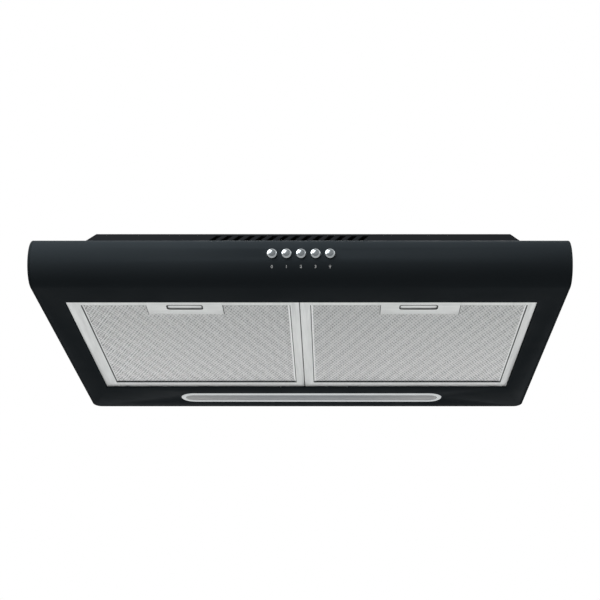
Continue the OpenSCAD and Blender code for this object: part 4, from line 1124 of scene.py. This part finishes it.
@dataclass
class FingerLatch:
    """Latch at the front of a filter: a plate with a finger opening, a dark ring of painted shadow in it and the
    sliding catch.

    The front edges of the filter and of its window are given as places along the depth.
    """

    side: str
    plate: Extent
    front: float
    window: float
    grip_length: float
    sheet: float = 0.8
    hem: float = 1.4
    grip_width: float = 15.0
    grip_corner: float = 3.6
    grip_back: float = 20.3
    corner_share: float = 0.6
    lip: float = 1.5
    lip_rise: float = 0.7
    plate_edge: float = 0.2
    gap_out: float = 0.3
    gap_half: float = 0.35
    gap_up: float = 0.3
    gap_end: float = 0.5
    # The ring of painted shadow around the finger opening: its inset, how much wider it starts, and its faces.
    shadow_ring: float = 1.35
    shadow_ring_wider: float = 0.1
    shadow_ring_low: float = 0.02
    shadow_ring_high: float = 0.6
    hole_back: float = 0.6
    fine_edge: float = 0.15
    slide_thick: float = 2.0
    slide_front: float = 6.7
    slide_edge: float = 0.4
    tongue: float = 12.0
    grip_wider: float = 1.0
    grip_clear: float = 0.05

    def build(self) -> None:
        """Model the plate, the dark blocks and ring of painted shadow beside and inside it, and the catch."""
        self.build_plate()
        self.build_slide()

    def build_plate(self) -> None:
        """Press the latch plate, flush with the strip, with a dark block of painted shadow on both sides where it
        meets the sheet.
        """
        body, box = f"{self.side}_filter", self.plate
        z = box.low.z
        plate = Piece.block(f"{self.side}_latch_pressing", (box.low.x, box.low.y, z),
                            (box.high.x, box.high.y, z + self.sheet))
        plate.cut(self.tablet("finger_opening", 0.0, z - PAST, z + self.sheet + PAST))
        plate.bevel(self.plate_edge).pick(Part.FACES, lambda *_: True).bisect(box.high.y - self.lip, keep_rear=True)
        plate.pick(Part.POINTS, lambda p, _: p.y > box.high.y - self.lip / 2).move((0, 0, self.lip_rise))
        bpy.ops.object.mode_set(mode="OBJECT")
        plate.done(LATCH_STEEL, body, f"{self.side}_latch_plate", slot="latch_metal")
        # Painted shadow: a dark block on each side of the plate stands in for the shade of the gap.
        for name, x in (("left", box.low.x - self.gap_out), ("right", box.high.x + self.gap_out)):
            gap = Piece.block(f"{self.side}_plate_gap_{name}", (x - self.gap_half, self.window, z + self.gap_up),
                              (x + self.gap_half, box.high.y - self.gap_end, z + self.hem))
            gap.bevel(self.fine_edge, 1).done(PAINTED_GAP_SHADE, body, slot="filter_metal")
        # Painted shadow: a dark ring stands in for the shade of the gap around the finger opening.
        shadow_ring = self.tablet(f"{self.side}_finger_bezel", -self.shadow_ring_wider, z + self.shadow_ring_low, z + self.shadow_ring_high)
        shadow_ring.cut(self.tablet("hole", self.shadow_ring, z - PAST, z + 2 * PAST, self.hole_back))
        shadow_ring.bevel(self.fine_edge).done(PAINTED_SHADOW_RING_ABS, body, slot="latch_metal")

    def tablet(self, name: str, inset: float, z0: float, z1: float, back: float = 0.0) -> Piece:
        """Make a tablet of the finger opening's outline.

        Args:
            name: Its name.
            inset: How far it lies inside that outline.
            z0: Lower face.
            z1: Upper face.
            back: How far back it is moved.

        Returns:
            The tablet.
        """
        half = Vector((self.grip_length / 2 - inset, self.grip_width / 2 - inset, 0))
        slider = Extent.of(f"{self.side}_latch_slider")
        middle = Vector((slider.centre.x, self.front + self.grip_back + back, 0))
        low, high = middle - half, middle + half
        low.z, high.z = z0, z1
        return Piece.tablet(name, low, high, self.grip_corner - inset * self.corner_share)

    def build_slide(self) -> None:
        """Make the sliding catch with its finger grip and tongue."""
        box = Extent.of(f"{self.side}_latch_slider")
        middle = box.centre.x
        floor = box.high.z - self.slide_thick
        slide = Piece.block(f"{self.side}_latch_slide", (box.low.x, box.low.y + self.slide_front, floor), box.high)
        slide.join(
            Piece.block("tongue", (middle - self.tongue, box.low.y, floor),
                        (middle + self.tongue, box.low.y + self.slide_front + OVERLAP, box.high.z)),
            self.tablet("grip", -self.grip_wider, self.plate.low.z + self.sheet + self.grip_clear, floor + OVERLAP),
        )
        slide.bevel(self.slide_edge, 3)
        slide.done(SATIN_STEEL, f"{self.side}_latch", f"{self.side}_latch_slider", slot="bright_metal")


@dataclass
class GreaseFilter:
    """Grease filter: a folded aluminium frame, two expanded sheets and a finger latch.

    The strips and shifts are those of its left and right side.
    """

    side: str
    strips: tuple[float, float]
    shifts: tuple[float, float]
    plate_wider: float = 0.0
    grip_length: float = 42.0
    front_strip: float = 13.5
    rear_strip: float = 17.5
    rear_reach: float = 1.3
    top_strip: float = 12.0
    sheet: float = 0.8
    fold_edge: float = 0.25
    hem: float = 1.4
    latch_play: float = 0.05
    # Width and lift of the dark ring of painted shadow around the window.
    shadow_gap: float = 0.9
    shadow_gap_up: float = 0.15
    margin: float = 1.7
    margin_up: float = 0.5
    margin_down: float = 0.2
    hook_reach: float = 7.5
    hook_width: float = 20.0
    hook_thick: float = 1.2
    hook_edge: float = 0.3
    hook_end: float = 2.0
    hook_step: float = 0.001
    hook_spacing: float = 180.0
    long_way: float = 8.8
    short_way: float = 3.6
    strand: float = 1.55
    strand_rise: float = 0.55
    strand_sheet: float = 0.35
    sheet_inset: float = 0.8
    upper_drop: float = 2.2
    body: str = field(init=False)
    plate: Extent = field(init=False)
    low: Vector = field(init=False)
    high: Vector = field(init=False)
    window_low: Vector = field(init=False)
    window_high: Vector = field(init=False)
    hook_z: float = field(init=False)

    def __post_init__(self) -> None:
        """Read the places of this side's filter from its solids."""
        self.body = f"{self.side}_filter"
        sheet = Extent.of(f"{self.side}_filter_mesh")
        frame = Extent.of(f"{self.side}_filter_frame")
        plate = Extent.of(f"{self.side}_latch_plate")
        self.plate = Extent(plate.low, plate.high + Vector((self.plate_wider, 0, 0)))
        rear = sheet.high.y + sheet.low.x - frame.low.x + self.rear_reach
        self.low = Vector((frame.low.x + self.shifts[0], frame.low.y, self.plate.low.z))
        self.high = Vector((frame.high.x + self.shifts[1], rear, frame.high.z))
        self.window_low = self.low + Vector((self.strips[0], self.front_strip, 0))
        self.window_high = Vector((self.high.x - self.strips[1], self.high.y - self.rear_strip, self.low.z))
        self.hook_z = frame.low.z

    def build(self) -> None:
        """Model the frame, the sheets and the latch of this side."""
        self.build_frame()
        self.build_border()
        self.build_hooks()
        self.build_sheets()
        FingerLatch(self.side, self.plate, self.low.y, self.window_low.y, self.grip_length, self.sheet,
                    self.hem).build()

    def build_frame(self) -> None:
        """Fold the frame: a box with a window below and above, and a hem around the lower one."""
        low, room, play = self.low, self.plate, self.latch_play
        frame = Piece.block(f"{self.side}_frame_folded", low, self.high)
        # The width of this inset doesn't matter, because the face is then fitted to the window.
        frame.pick(Part.FACES, lambda _, n: n.z < -FACING).inset(5.0)
        frame.fit(self.window_low, self.window_high).delete(Part.FACES)
        frame.pick(Part.FACES, lambda _, n: n.z > FACING).inset(self.top_strip).delete(Part.FACES)
        frame.rim(lambda p, _: p.z < low.z + TOUCH).extrude((0, 0, self.hem))
        frame.modify("SOLIDIFY", thickness=self.sheet * MM, offset=-1.0)
        frame.cut(Piece.block("latch_room", (room.low.x - play, low.y + self.sheet, low.z - PAST),
                              (room.high.x + play, room.high.y + PAST, low.z + self.hem + PAST)))
        frame.bevel(self.fold_edge)
        frame.done(FRAME_ALUMINIUM, self.body, f"{self.side}_filter_frame", slot="filter_metal")

    def build_border(self) -> None:
        """Line the window: a dark ring of painted shadow in the gap beside the hem, and inside it the sheet's flat,
        unslit margin.
        """
        low, high = self.window_low, self.window_high
        z0, z1 = self.low.z + self.shadow_gap_up, self.low.z + self.hem
        # Painted shadow: a dark ring stands in for the shade of the gap around the window.
        shadow_gap = Piece.block(f"{self.side}_window_seam", (low.x, low.y, z0), (high.x, high.y, z1))
        shadow_gap.cut(Piece.block("inside", (low.x + self.shadow_gap, low.y - PAST, z0 - PAST),
                             (high.x - self.shadow_gap, high.y - self.sheet, z1 + PAST)))
        shadow_gap.done(PAINTED_GAP_SHADE, self.body, slot="filter_metal")
        inset, z2 = self.shadow_gap, self.low.z + self.hem + self.margin_up
        border = Piece.block(f"{self.side}_sheet_margin", (low.x + inset, low.y, z1 - self.margin_down),
                             (high.x - inset, high.y - self.sheet, z2))
        border.cut(Piece.block("inside", (low.x + inset + self.margin, low.y - PAST, z1 - PAST),
                               (high.x - inset - self.margin, high.y + PAST, z2 + PAST)))
        border.done(SHEET_MARGIN, self.body, slot="filter_metal")

    def build_hooks(self) -> None:
        """Fold the two hooks that slip over the edge of the opening behind the filter."""
        middle = (self.low.x + self.high.x) / 2
        half, root = Vector((self.hook_width / 2, 0, 0)), self.high.y - self.sheet
        hooks = []
        for number, way in ((1, -1), (2, 1)):
            x = middle + way * self.hook_spacing / 2
            low = Vector((x, root, self.hook_z)) - half
            high = Vector((x, self.high.y + self.hook_reach, self.hook_z + self.hook_thick)) + half
            hooks.append(Piece.block(f"{self.side}_filter_hook_{number}", low, high))
        for hook in hooks:
            # The inset is wider than half of the hook's thickness, so the end stands proud of both its sides.
            hook.pick(Part.FACES, lambda _, n: n.y > FACING).inset(self.hook_end).extrude((0, self.hook_step, 0))
            bpy.ops.object.mode_set(mode="OBJECT")
            # The hooks take the dark aluminium of the painted shadow as well.
            hook.bevel(self.hook_edge).done(PAINTED_GAP_SHADE, self.body, slot="filter_metal")

    def zigzag(self, strand: Piece, y0: float, swing: float) -> Piece:
        """Push every second row of a strand's points to the right and the others to the left.

        Args:
            strand: The strand.
            y0: Its front end.
            swing: How far a row is pushed.

        Returns:
            The strand, in edit mode.
        """
        for odd, way in ((1, 1), (0, -1)):
            strand.pick(Part.POINTS, lambda p, _: round((p.y - y0) / (self.long_way / 2)) % 2 == odd)
            strand.move((way * swing, 0, 0))
        return strand

    def ribbon(self, y0: float, y1: float, z: float) -> Piece:
        """Make one strand of expanded metal that zigzags backwards, slanted as the tool leaves it.

        Args:
            y0: Its front end.
            y1: Its rear end.
            z: Height of its lower edge.

        Returns:
            The strand, about X = 0.
        """
        step = self.long_way / 2
        count = int((y1 - y0) // step)
        deselect()
        bpy.ops.mesh.primitive_grid_add(x_subdivisions=1, y_subdivisions=count, size=1,
                                        location=(0, (y0 + count * step / 2) * MM, z * MM))
        bpy.context.object.scale = (self.strand * MM, count * step * MM, 1)
        strand = Piece(bpy.context.object, "strand")
        tilt = 1 if self.side == "left" else -1
        strand.pick(Part.POINTS, lambda p, _: p.x * tilt > 0).move((0, 0, self.strand_rise))
        return self.zigzag(strand, y0, self.short_way / 4)

    def expanded_sheet(self, name: str, z: float) -> Piece:
        """Lay strands side by side, each the mirror of the last, so that they open into diamonds.

        Args:
            name: Name of the sheet.
            z: Height of its lower side.

        Returns:
            The sheet.
        """
        margin = self.sheet + self.sheet_inset
        x0, x1 = self.low.x + margin, self.high.x - margin
        y0, y1 = self.low.y + margin, self.high.y - margin
        pair = self.ribbon(y0, y1, z)
        twin = self.zigzag(pair.copy("strand_twin", (self.short_way / 2, 0, 0)), y0, -self.short_way / 2)
        pair.join(twin).modify("SOLIDIFY", thickness=self.strand_sheet * MM, offset=1.0)
        pair.activate()
        pair.obj.location.x = (x0 + self.short_way / 2) * MM
        pair.settle()
        pair.modify("ARRAY", count=int((x1 - x0) // self.short_way), use_relative_offset=False,
                    use_constant_offset=True, constant_offset_displace=(self.short_way * MM, 0, 0))
        return pair.rename(name)

    def build_sheets(self) -> None:
        """Make the lower sheet, open where the latch sits, and the upper one."""
        room = self.plate
        lower = self.expanded_sheet(f"{self.side}_expanded_lower", self.low.z + self.hem)
        lower.pick(Part.FACES, lambda p, _: room.low.x < p.x < room.high.x and p.y < room.high.y)
        lower.delete(Part.FACES)
        bpy.ops.mesh.select_all(action="SELECT")
        bpy.ops.mesh.fill_holes(sides=0)
        lower.done(SHEET_ALUMINIUM, self.body, f"{self.side}_filter_mesh", slot="filter_metal")
        upper = self.expanded_sheet(f"{self.side}_expanded_upper", self.high.z - self.upper_drop)
        upper.done(SHEET_ALUMINIUM, self.body, slot="filter_metal")


@dataclass
class LightBar:
    """Light bar behind the filters: a polished rim around a frosted lens."""

    rim: float = 6.1
    skirt: float = 1.2
    skirt_in: float = 2.3
    stand_out: float = 1.5
    front_gap: float = 1.5
    lens_set_back: float = 0.35
    lens_thick: float = 1.6
    lens_edge: float = 0.3
    flange_in: float = 9.0
    flange_low: float = 1.3
    inner_wall: float = 1.2
    steps: int = 64

    def build(self) -> None:
        """Model the rim and the lens."""
        box, lens_box = Extent.of("lamp_rim"), Extent.of("lamp_lens")
        length, width = box.size.x, box.size.y - self.front_gap
        middle = box.centre + Vector((0, self.front_gap / 2, 0))
        outer, inner = width / 2, width / 2 - self.rim
        top, skirt = box.size.z, outer - self.skirt_in
        # The lip rounds off the inner wall, lies flat at the bottom and turns up to the face of the sheet.
        lip = [(inner, self.inner_wall), (inner, 0.5), (inner + 0.3, 0.15), (inner + 0.8, 0.0), (outer - 1.4, 0.0),
               (outer - 0.6, 0.25), (outer, 1.0), (outer, self.stand_out)]
        profile = [*lip, (skirt, self.stand_out), (skirt, top), (skirt - self.skirt, top),
                   (skirt - self.skirt, self.inner_wall), lip[0]]
        rim = Piece.turned("lamp_bezel", profile, self.steps)
        rim.stretch(0, length - width).stand((middle.x, middle.y, box.low.z)).smooth(35)
        rim.done(CHROME, "hood", "lamp_rim", slot="bright_metal")
        lens = Piece.pill("lamp_diffuser", middle.xy, length - 2 * self.rim, width - 2 * self.rim,
                          box.low.z + self.lens_set_back, lens_box.low.z + self.lens_thick, self.steps)
        lens.join(Piece.pill("flange", middle.xy, length - self.flange_in, width - self.flange_in,
                             box.low.z + self.flange_low, lens_box.high.z, self.steps))
        lens.bevel(self.lens_edge, angle=50)
        lens.done(LENS_PC, "hood", "lamp_lens", slot="lens")


class Mark(Enum):
    """Mark printed under each button; the lamp's is a sign."""

    off = "0"
    low = "1"
    medium = "2"
    high = "3"
    lamp = ""


@dataclass
class ControlPanel:
    """Five push buttons in the nose, with their printed marks."""

    button_radius: float = 5.65
    collar: float = 1.2
    collar_wider: float = 1.3
    rim_slope: int = 52
    disc_slope: int = 32
    slope_step: int = 4
    groove_width: float = 0.15
    groove_depth: float = 0.3
    mark_height: float = 3.3
    mark_z: float = 16.0
    mark_skin: float = 0.06
    mark_bold: float = 0.13
    faces: list[bpy.types.Object] = field(default_factory=list)

    def build(self) -> None:
        """Model the buttons and print the marks."""
        for mark in Mark:
            box = Extent.of(f"button_{mark.name}_cap")
            self.build_button(mark, box)
            self.print_mark(mark, box.centre.x)

    def build_button(self, mark: Mark, box: Extent) -> None:
        """Turn one button: a skirt with a collar and a domed face with a groove around a middle darkened as a painted
        reflection.

        Args:
            mark: Which button.
            box: Extent of its CAD node.
        """
        depth, r, wide = box.size.y, self.button_radius, self.button_radius + self.collar_wider
        ball = r / math.sin(math.radians(self.rim_slope))
        rim, face = [
            [(ball * math.sin(math.radians(slope)), depth - ball * (1 - math.cos(math.radians(slope))))
             for slope in range(start, stop, -self.slope_step)]
            for start, stop in ((self.rim_slope, self.disc_slope), (self.disc_slope, -1))
        ]
        disc, edge = face[0]
        profile = [
            (0, 0), (wide, 0), (wide, self.collar), (r, self.collar), (r, rim[0][1] - 0.2), *rim,
            (disc, edge), (disc - self.groove_width, edge - self.groove_depth), *face[1:],
        ]
        button = Piece.turned(f"button_{mark.name}_dome", profile, 48)
        button.obj.data.materials.append(BUTTON_CHROME.material())
        # Painted reflection: the middle of the dome gets a darker chrome.
        button.paint(BUTTON_PAINTED_DARK_REFLECTION, lambda p, _: p.z > 2 and math.hypot(p.x, p.y) < disc - 0.05)
        button.stand((box.centre.x, box.high.y, box.centre.z), (0, -1, 0)).smooth(40)
        self.faces.append(
            button.done(BUTTON_CHROME, f"button_{mark.name}", f"button_{mark.name}_cap", slot="bright_metal"))

    def print_mark(self, mark: Mark, x: float) -> None:
        """Print the number or the lamp sign under a button, on the curve of the nose.

        Args:
            mark: Which mark.
            x: Its middle across the hood.
        """
        shell = Extent.of("visor_shell")
        nose = shell.size.z / 2
        deselect()
        sign = self.lamp_sign() if mark is Mark.lamp else self.number(mark.value)
        rise = self.mark_z - nose
        out = Vector((0, -math.sqrt(nose ** 2 - rise ** 2), rise)).normalized()
        side = Vector((1, 0, 0))
        turn = Matrix((side, out.cross(side), out)).transposed().to_4x4()
        middle = Vector((x, shell.low.y + nose, shell.low.z + nose))
        sign.place(middle + out * (nose + self.mark_skin / 2), turn)
        sign.rename(f"mark_{mark.name}").done(INK, "hood")

    def number(self, text: str) -> Piece:
        """Draw a number as a thin skin about the origin.

        Args:
            text: The number.

        Returns:
            The number.
        """
        bpy.ops.object.text_add()
        letters = bpy.context.object
        letters.data.body = text
        # The figures of the built-in font are 1 / 1.38 of its size in height.
        letters.data.size = self.mark_height * 1.38 * MM
        letters.data.align_x, letters.data.align_y = "CENTER", "CENTER"
        letters.data.extrude = self.mark_skin * MM / 2
        letters.data.offset = self.mark_bold * MM
        bpy.ops.object.convert(target="MESH")
        return Piece(bpy.context.object, "letters").merge().outward()

    def lamp_sign(self) -> Piece:
        """Draw a lamp: a round bulb, its neck and three rays.

        Returns:
            The sign, a thin skin about the origin.
        """
        half, height = self.mark_skin / 2, self.mark_height
        bulb_y, bulb_radius, ray_from = 0.12 * height, 0.28 * height, 0.36 * height
        bulb = Piece.rod("lamp_sign", (0, bulb_y, -half), (0, bulb_y, half), bulb_radius, 24)
        neck = Piece.block("neck", (-0.13 * height, -0.5 * height, -half), (0.13 * height, -0.1 * height, half))
        rays = []
        for angle in (20, 90, 160):
            turn = math.radians(angle)
            start = Vector((math.cos(turn), math.sin(turn), 0)) * ray_from
            start.y += bulb_y
            ray = Piece.block("ray", (0, -0.05 * height, -half), (0.2 * height, 0.05 * height, half))
            rays.append(ray.place(start, Matrix.Rotation(turn, 4, "Z")))
        return bulb.join(neck, *rays)


@dataclass
class SoftEdges:
    """Folded, moulded and cast parts whose form is right: their edges get the radius that the making leaves."""

    radii: dict[str, float]
    bodies: dict[str, str]
    weld: float = 0.02
    flat_angle: float = 0.6

    def build(self) -> None:
        """Copy each solid, merge its triangles into faces and round its edges."""
        for node, radius in self.radii.items():
            source = bpy.data.objects[node]
            twin = bpy.data.objects.new(f"{node}_edged", source.data.copy())
            twin.data.materials.clear()
            bpy.context.scene.collection.objects.link(twin)
            part = Piece(twin, f"{node}_edged").merge(self.weld)
            bpy.ops.mesh.dissolve_limited(angle_limit=math.radians(self.flat_angle))
            part.bevel(radius)
            part.done(CAD_FINISHES[node], self.bodies[node], node)


@dataclass
class PanScrews:
    """Pan-head screws with a cross recess, one in each place of a node."""

    node: str
    body: str
    finish: Finish
    shank: float = 1.9
    head: float = 2.2
    recess: float = 1.3
    recess_half: float = 0.45
    recess_reach: float = 0.62
    apart: float = 9.0

    def places(self) -> list[Extent]:
        """Return the box of each screw of the node.

        Returns:
            The boxes.
        """
        groups: list[list[Vector]] = []
        for vertex in bpy.data.objects[self.node].data.vertices:
            point = vertex.co / MM
            near = [group for group in groups if (group[0].xy - point.xy).length < self.apart]
            if near:
                near[0].append(point)
            else:
                groups.append([point])
        return [Extent(Vector(map(min, zip(*group))), Vector(map(max, zip(*group)))) for group in groups]

    def build(self) -> None:
        """Turn and recess one screw, copy it to every place and join the copies."""
        places = self.places()
        size = places[0].size
        r, top = size.x / 2, size.z
        under = top - self.head
        # A blunt tip, the shank, the flat underside of the head and its dome.
        profile = [
            (0, 0), (self.shank * 0.7, 0.8), (self.shank, 1.6), (self.shank, under), (r, under),
            (r, under + 0.5), (r * 0.93, under + 1.1), (r * 0.75, under + 1.65), (r * 0.45, top - 0.08), (0, top),
        ]
        screw = Piece.turned("screw", profile, 24)
        reach = r * self.recess_reach
        for long, wide in ((reach, self.recess_half), (self.recess_half, reach)):
            screw.cut(Piece.block("slot", (-long, -wide, top - self.recess), (long, wide, top + PAST)))
        screw.smooth(30)
        copies = [screw.copy("copy", (box.centre.x, box.centre.y, box.low.z)) for box in places]
        bpy.data.objects.remove(screw.obj)
        copies[0].join(*copies[1:]).rename(f"{self.node}_set")
        copies[0].done(self.finish, self.body, self.node, slot="zinc")


# ---- Camera, floor and light ----


@dataclass(frozen=True)
class SoftLamp:
    """A square soft lamp; places and size in metres."""

    name: str
    at: Point
    towards: Point
    size: float
    watts: float

    def hang(self) -> bpy.types.Object:
        """Hang the lamp.

        Returns:
            The lamp.
        """
        light = bpy.data.lights.new(self.name, "AREA")
        light.size, light.energy = self.size, self.watts
        lamp = bpy.data.objects.new(self.name, light)
        bpy.context.scene.collection.objects.link(lamp)
        lamp.location = self.at
        lamp.rotation_euler = (Vector(self.towards) - Vector(self.at)).to_track_quat("-Z", "Y").to_euler()
        return lamp


LAMPS = (
    SoftLamp("key_lamp", (-1.0, -1.2, 1.3), (0.0, -0.2, -0.08), 2.0, 45.0),
    SoftLamp("right_lamp", (2.4, 0.5, 1.0), (0.1, 0.0, -0.05), 1.6, 16.0),
    SoftLamp("rear_lamp", (0.3, 2.2, 1.6), (0.0, 0.1, 0.0), 1.6, 16.0),
)
REFLECTOR_CARD = SoftLamp("reflector_card", (-1.2, -0.87, 1.15), (0.0, -0.3, -0.09), 2.1, 80.0)
WHITE = (1.0, 1.0, 1.0, 1.0)


@dataclass
class Studio:
    """Camera below and in front of the hood, a pale floor far below it, a white room and soft lamps."""

    camera_at: Point = (0.03827, -1.760, -0.694)
    look_up: float = 20.81
    focal_mm: float = 86.22
    shift: float = -0.0581
    floor_z: float = -3.2
    floor_size: float = 60.0
    floor_colour: str = "#d2d3d3"
    floor_white: float = 0.84
    room_light: float = 0.183

    def build(self) -> None:
        """Make the camera, the room, the floor and the lamps."""
        self.place_camera()
        self.light_room()
        self.lay_floor()
        for lamp in LAMPS:
            lamp.hang()

    def hold_card(self) -> bpy.types.Object:
        """Hold up the card that the polished buttons mirror."""
        card = REFLECTOR_CARD.hang()
        card.visible_diffuse = False
        return card

    def keep_card_to(self, card: bpy.types.Object, faces: Sequence[bpy.types.Object]) -> None:
        """Let the card show in some faces alone, as a small card held close to them does.

        Args:
            card: The card.
            faces: Those faces.
        """
        only = bpy.data.collections.new("card_faces")
        for face in faces:
            only.objects.link(face)
        card.light_linking.receiver_collection = only

    def place_camera(self) -> None:
        """Put the camera at the viewing angle, level and looking up at the underside."""
        lens = bpy.data.cameras.new("camera")
        lens.lens, lens.sensor_width, lens.shift_x = self.focal_mm, 36.0, self.shift
        lens.clip_start, lens.clip_end = 0.01, self.floor_size
        camera = bpy.data.objects.new("camera", lens)
        bpy.context.scene.collection.objects.link(camera)
        camera.location = self.camera_at
        camera.rotation_euler = (math.radians(90.0 + self.look_up), 0.0, 0.0)
        bpy.context.scene.camera = camera

    def shown_share(self, tree: Tree) -> Socket:
        """Return 1 for the rays that see the background itself, in glass and gloss too.

        Args:
            tree: Node tree of the background.

        Returns:
            The socket with the value.
        """
        rays = add_node(tree, "ShaderNodeLightPath").outputs
        both = add_node(tree, "ShaderNodeMath", {0: rays["Is Camera Ray"], 1: rays["Is Glossy Ray"]},
                        operation="MAXIMUM").outputs["Value"]
        return add_node(tree, "ShaderNodeMath", {0: both, 1: rays["Is Transmission Ray"]},
                        operation="MAXIMUM").outputs["Value"]

    def light_room(self) -> None:
        """Give a white room to what sees it and an even, plain light to the rest."""
        world = bpy.data.worlds.new("white_room")
        bpy.context.scene.world = world
        tree = empty_tree(world)
        strength = add_node(tree, "ShaderNodeMapRange", {
            "Value": self.shown_share(tree), "To Min": self.room_light, "To Max": 1.0,
        }).outputs["Result"]
        room = add_node(tree, "ShaderNodeBackground", {"Color": WHITE, "Strength": strength})
        add_node(tree, "ShaderNodeOutputWorld", {"Surface": room.outputs["Background"]})

    def lay_floor(self) -> None:
        """Lay a pale floor that looks white where it is seen and still takes a soft shadow."""
        bpy.ops.mesh.primitive_plane_add(size=self.floor_size, location=(0.0, 0.0, self.floor_z))
        floor = bpy.context.object
        floor.name = "floor"
        material = bpy.data.materials.new("pale_floor")
        tree = empty_tree(material)
        matt = add_node(tree, "ShaderNodeBsdfDiffuse", {"Color": linear(self.floor_colour)})
        white = add_node(tree, "ShaderNodeEmission", {"Color": WHITE, "Strength": 1.0})
        share = add_node(tree, "ShaderNodeMath", {0: self.shown_share(tree), 1: self.floor_white},
                         operation="MULTIPLY")
        look = add_node(tree, "ShaderNodeMixShader", {
            0: share.outputs["Value"], 1: matt.outputs["BSDF"], 2: white.outputs["Emission"],
        })
        add_node(tree, "ShaderNodeOutputMaterial", {"Surface": look.outputs["Shader"]})
        floor.data.materials.append(material)


def main() -> None:
    """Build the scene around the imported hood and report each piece."""
    logging.basicConfig(level=logging.INFO, format="%(message)s")
    bpy.context.scene.view_settings.view_transform = "Standard"
    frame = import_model()
    studio, panel = Studio(), ControlPanel()
    studio.build()
    card = studio.hold_card()
    for name, node in frame["nodes"].items():
        dress(node, CAD_FINISHES[name])
    for assembly in (EndCap(-1), EndCap(1), GreaseFilter("left", (15.5, 10.2), (0.0, -2.3)),
                     GreaseFilter("right", (11.8, 9.5), (-2.3, 0.0), 4.0, grip_length=44.6), LightBar(), panel):
        assembly.build()
    studio.keep_card_to(card, panel.faces)
    bodies = {node: body for body, nodes in frame["record"]["behaviour"]["bodies"].items() for node in nodes}
    SoftEdges(EDGE_RADII, bodies).build()
    PanScrews("shell_screws", "hood", BLACK_SCREW).build()
    PanScrews("motor_screws", "hood", SCREW_STEEL).build()
    LOG.info("%d solids dressed", len(frame["nodes"]))


if __name__ == "__main__":
    main()
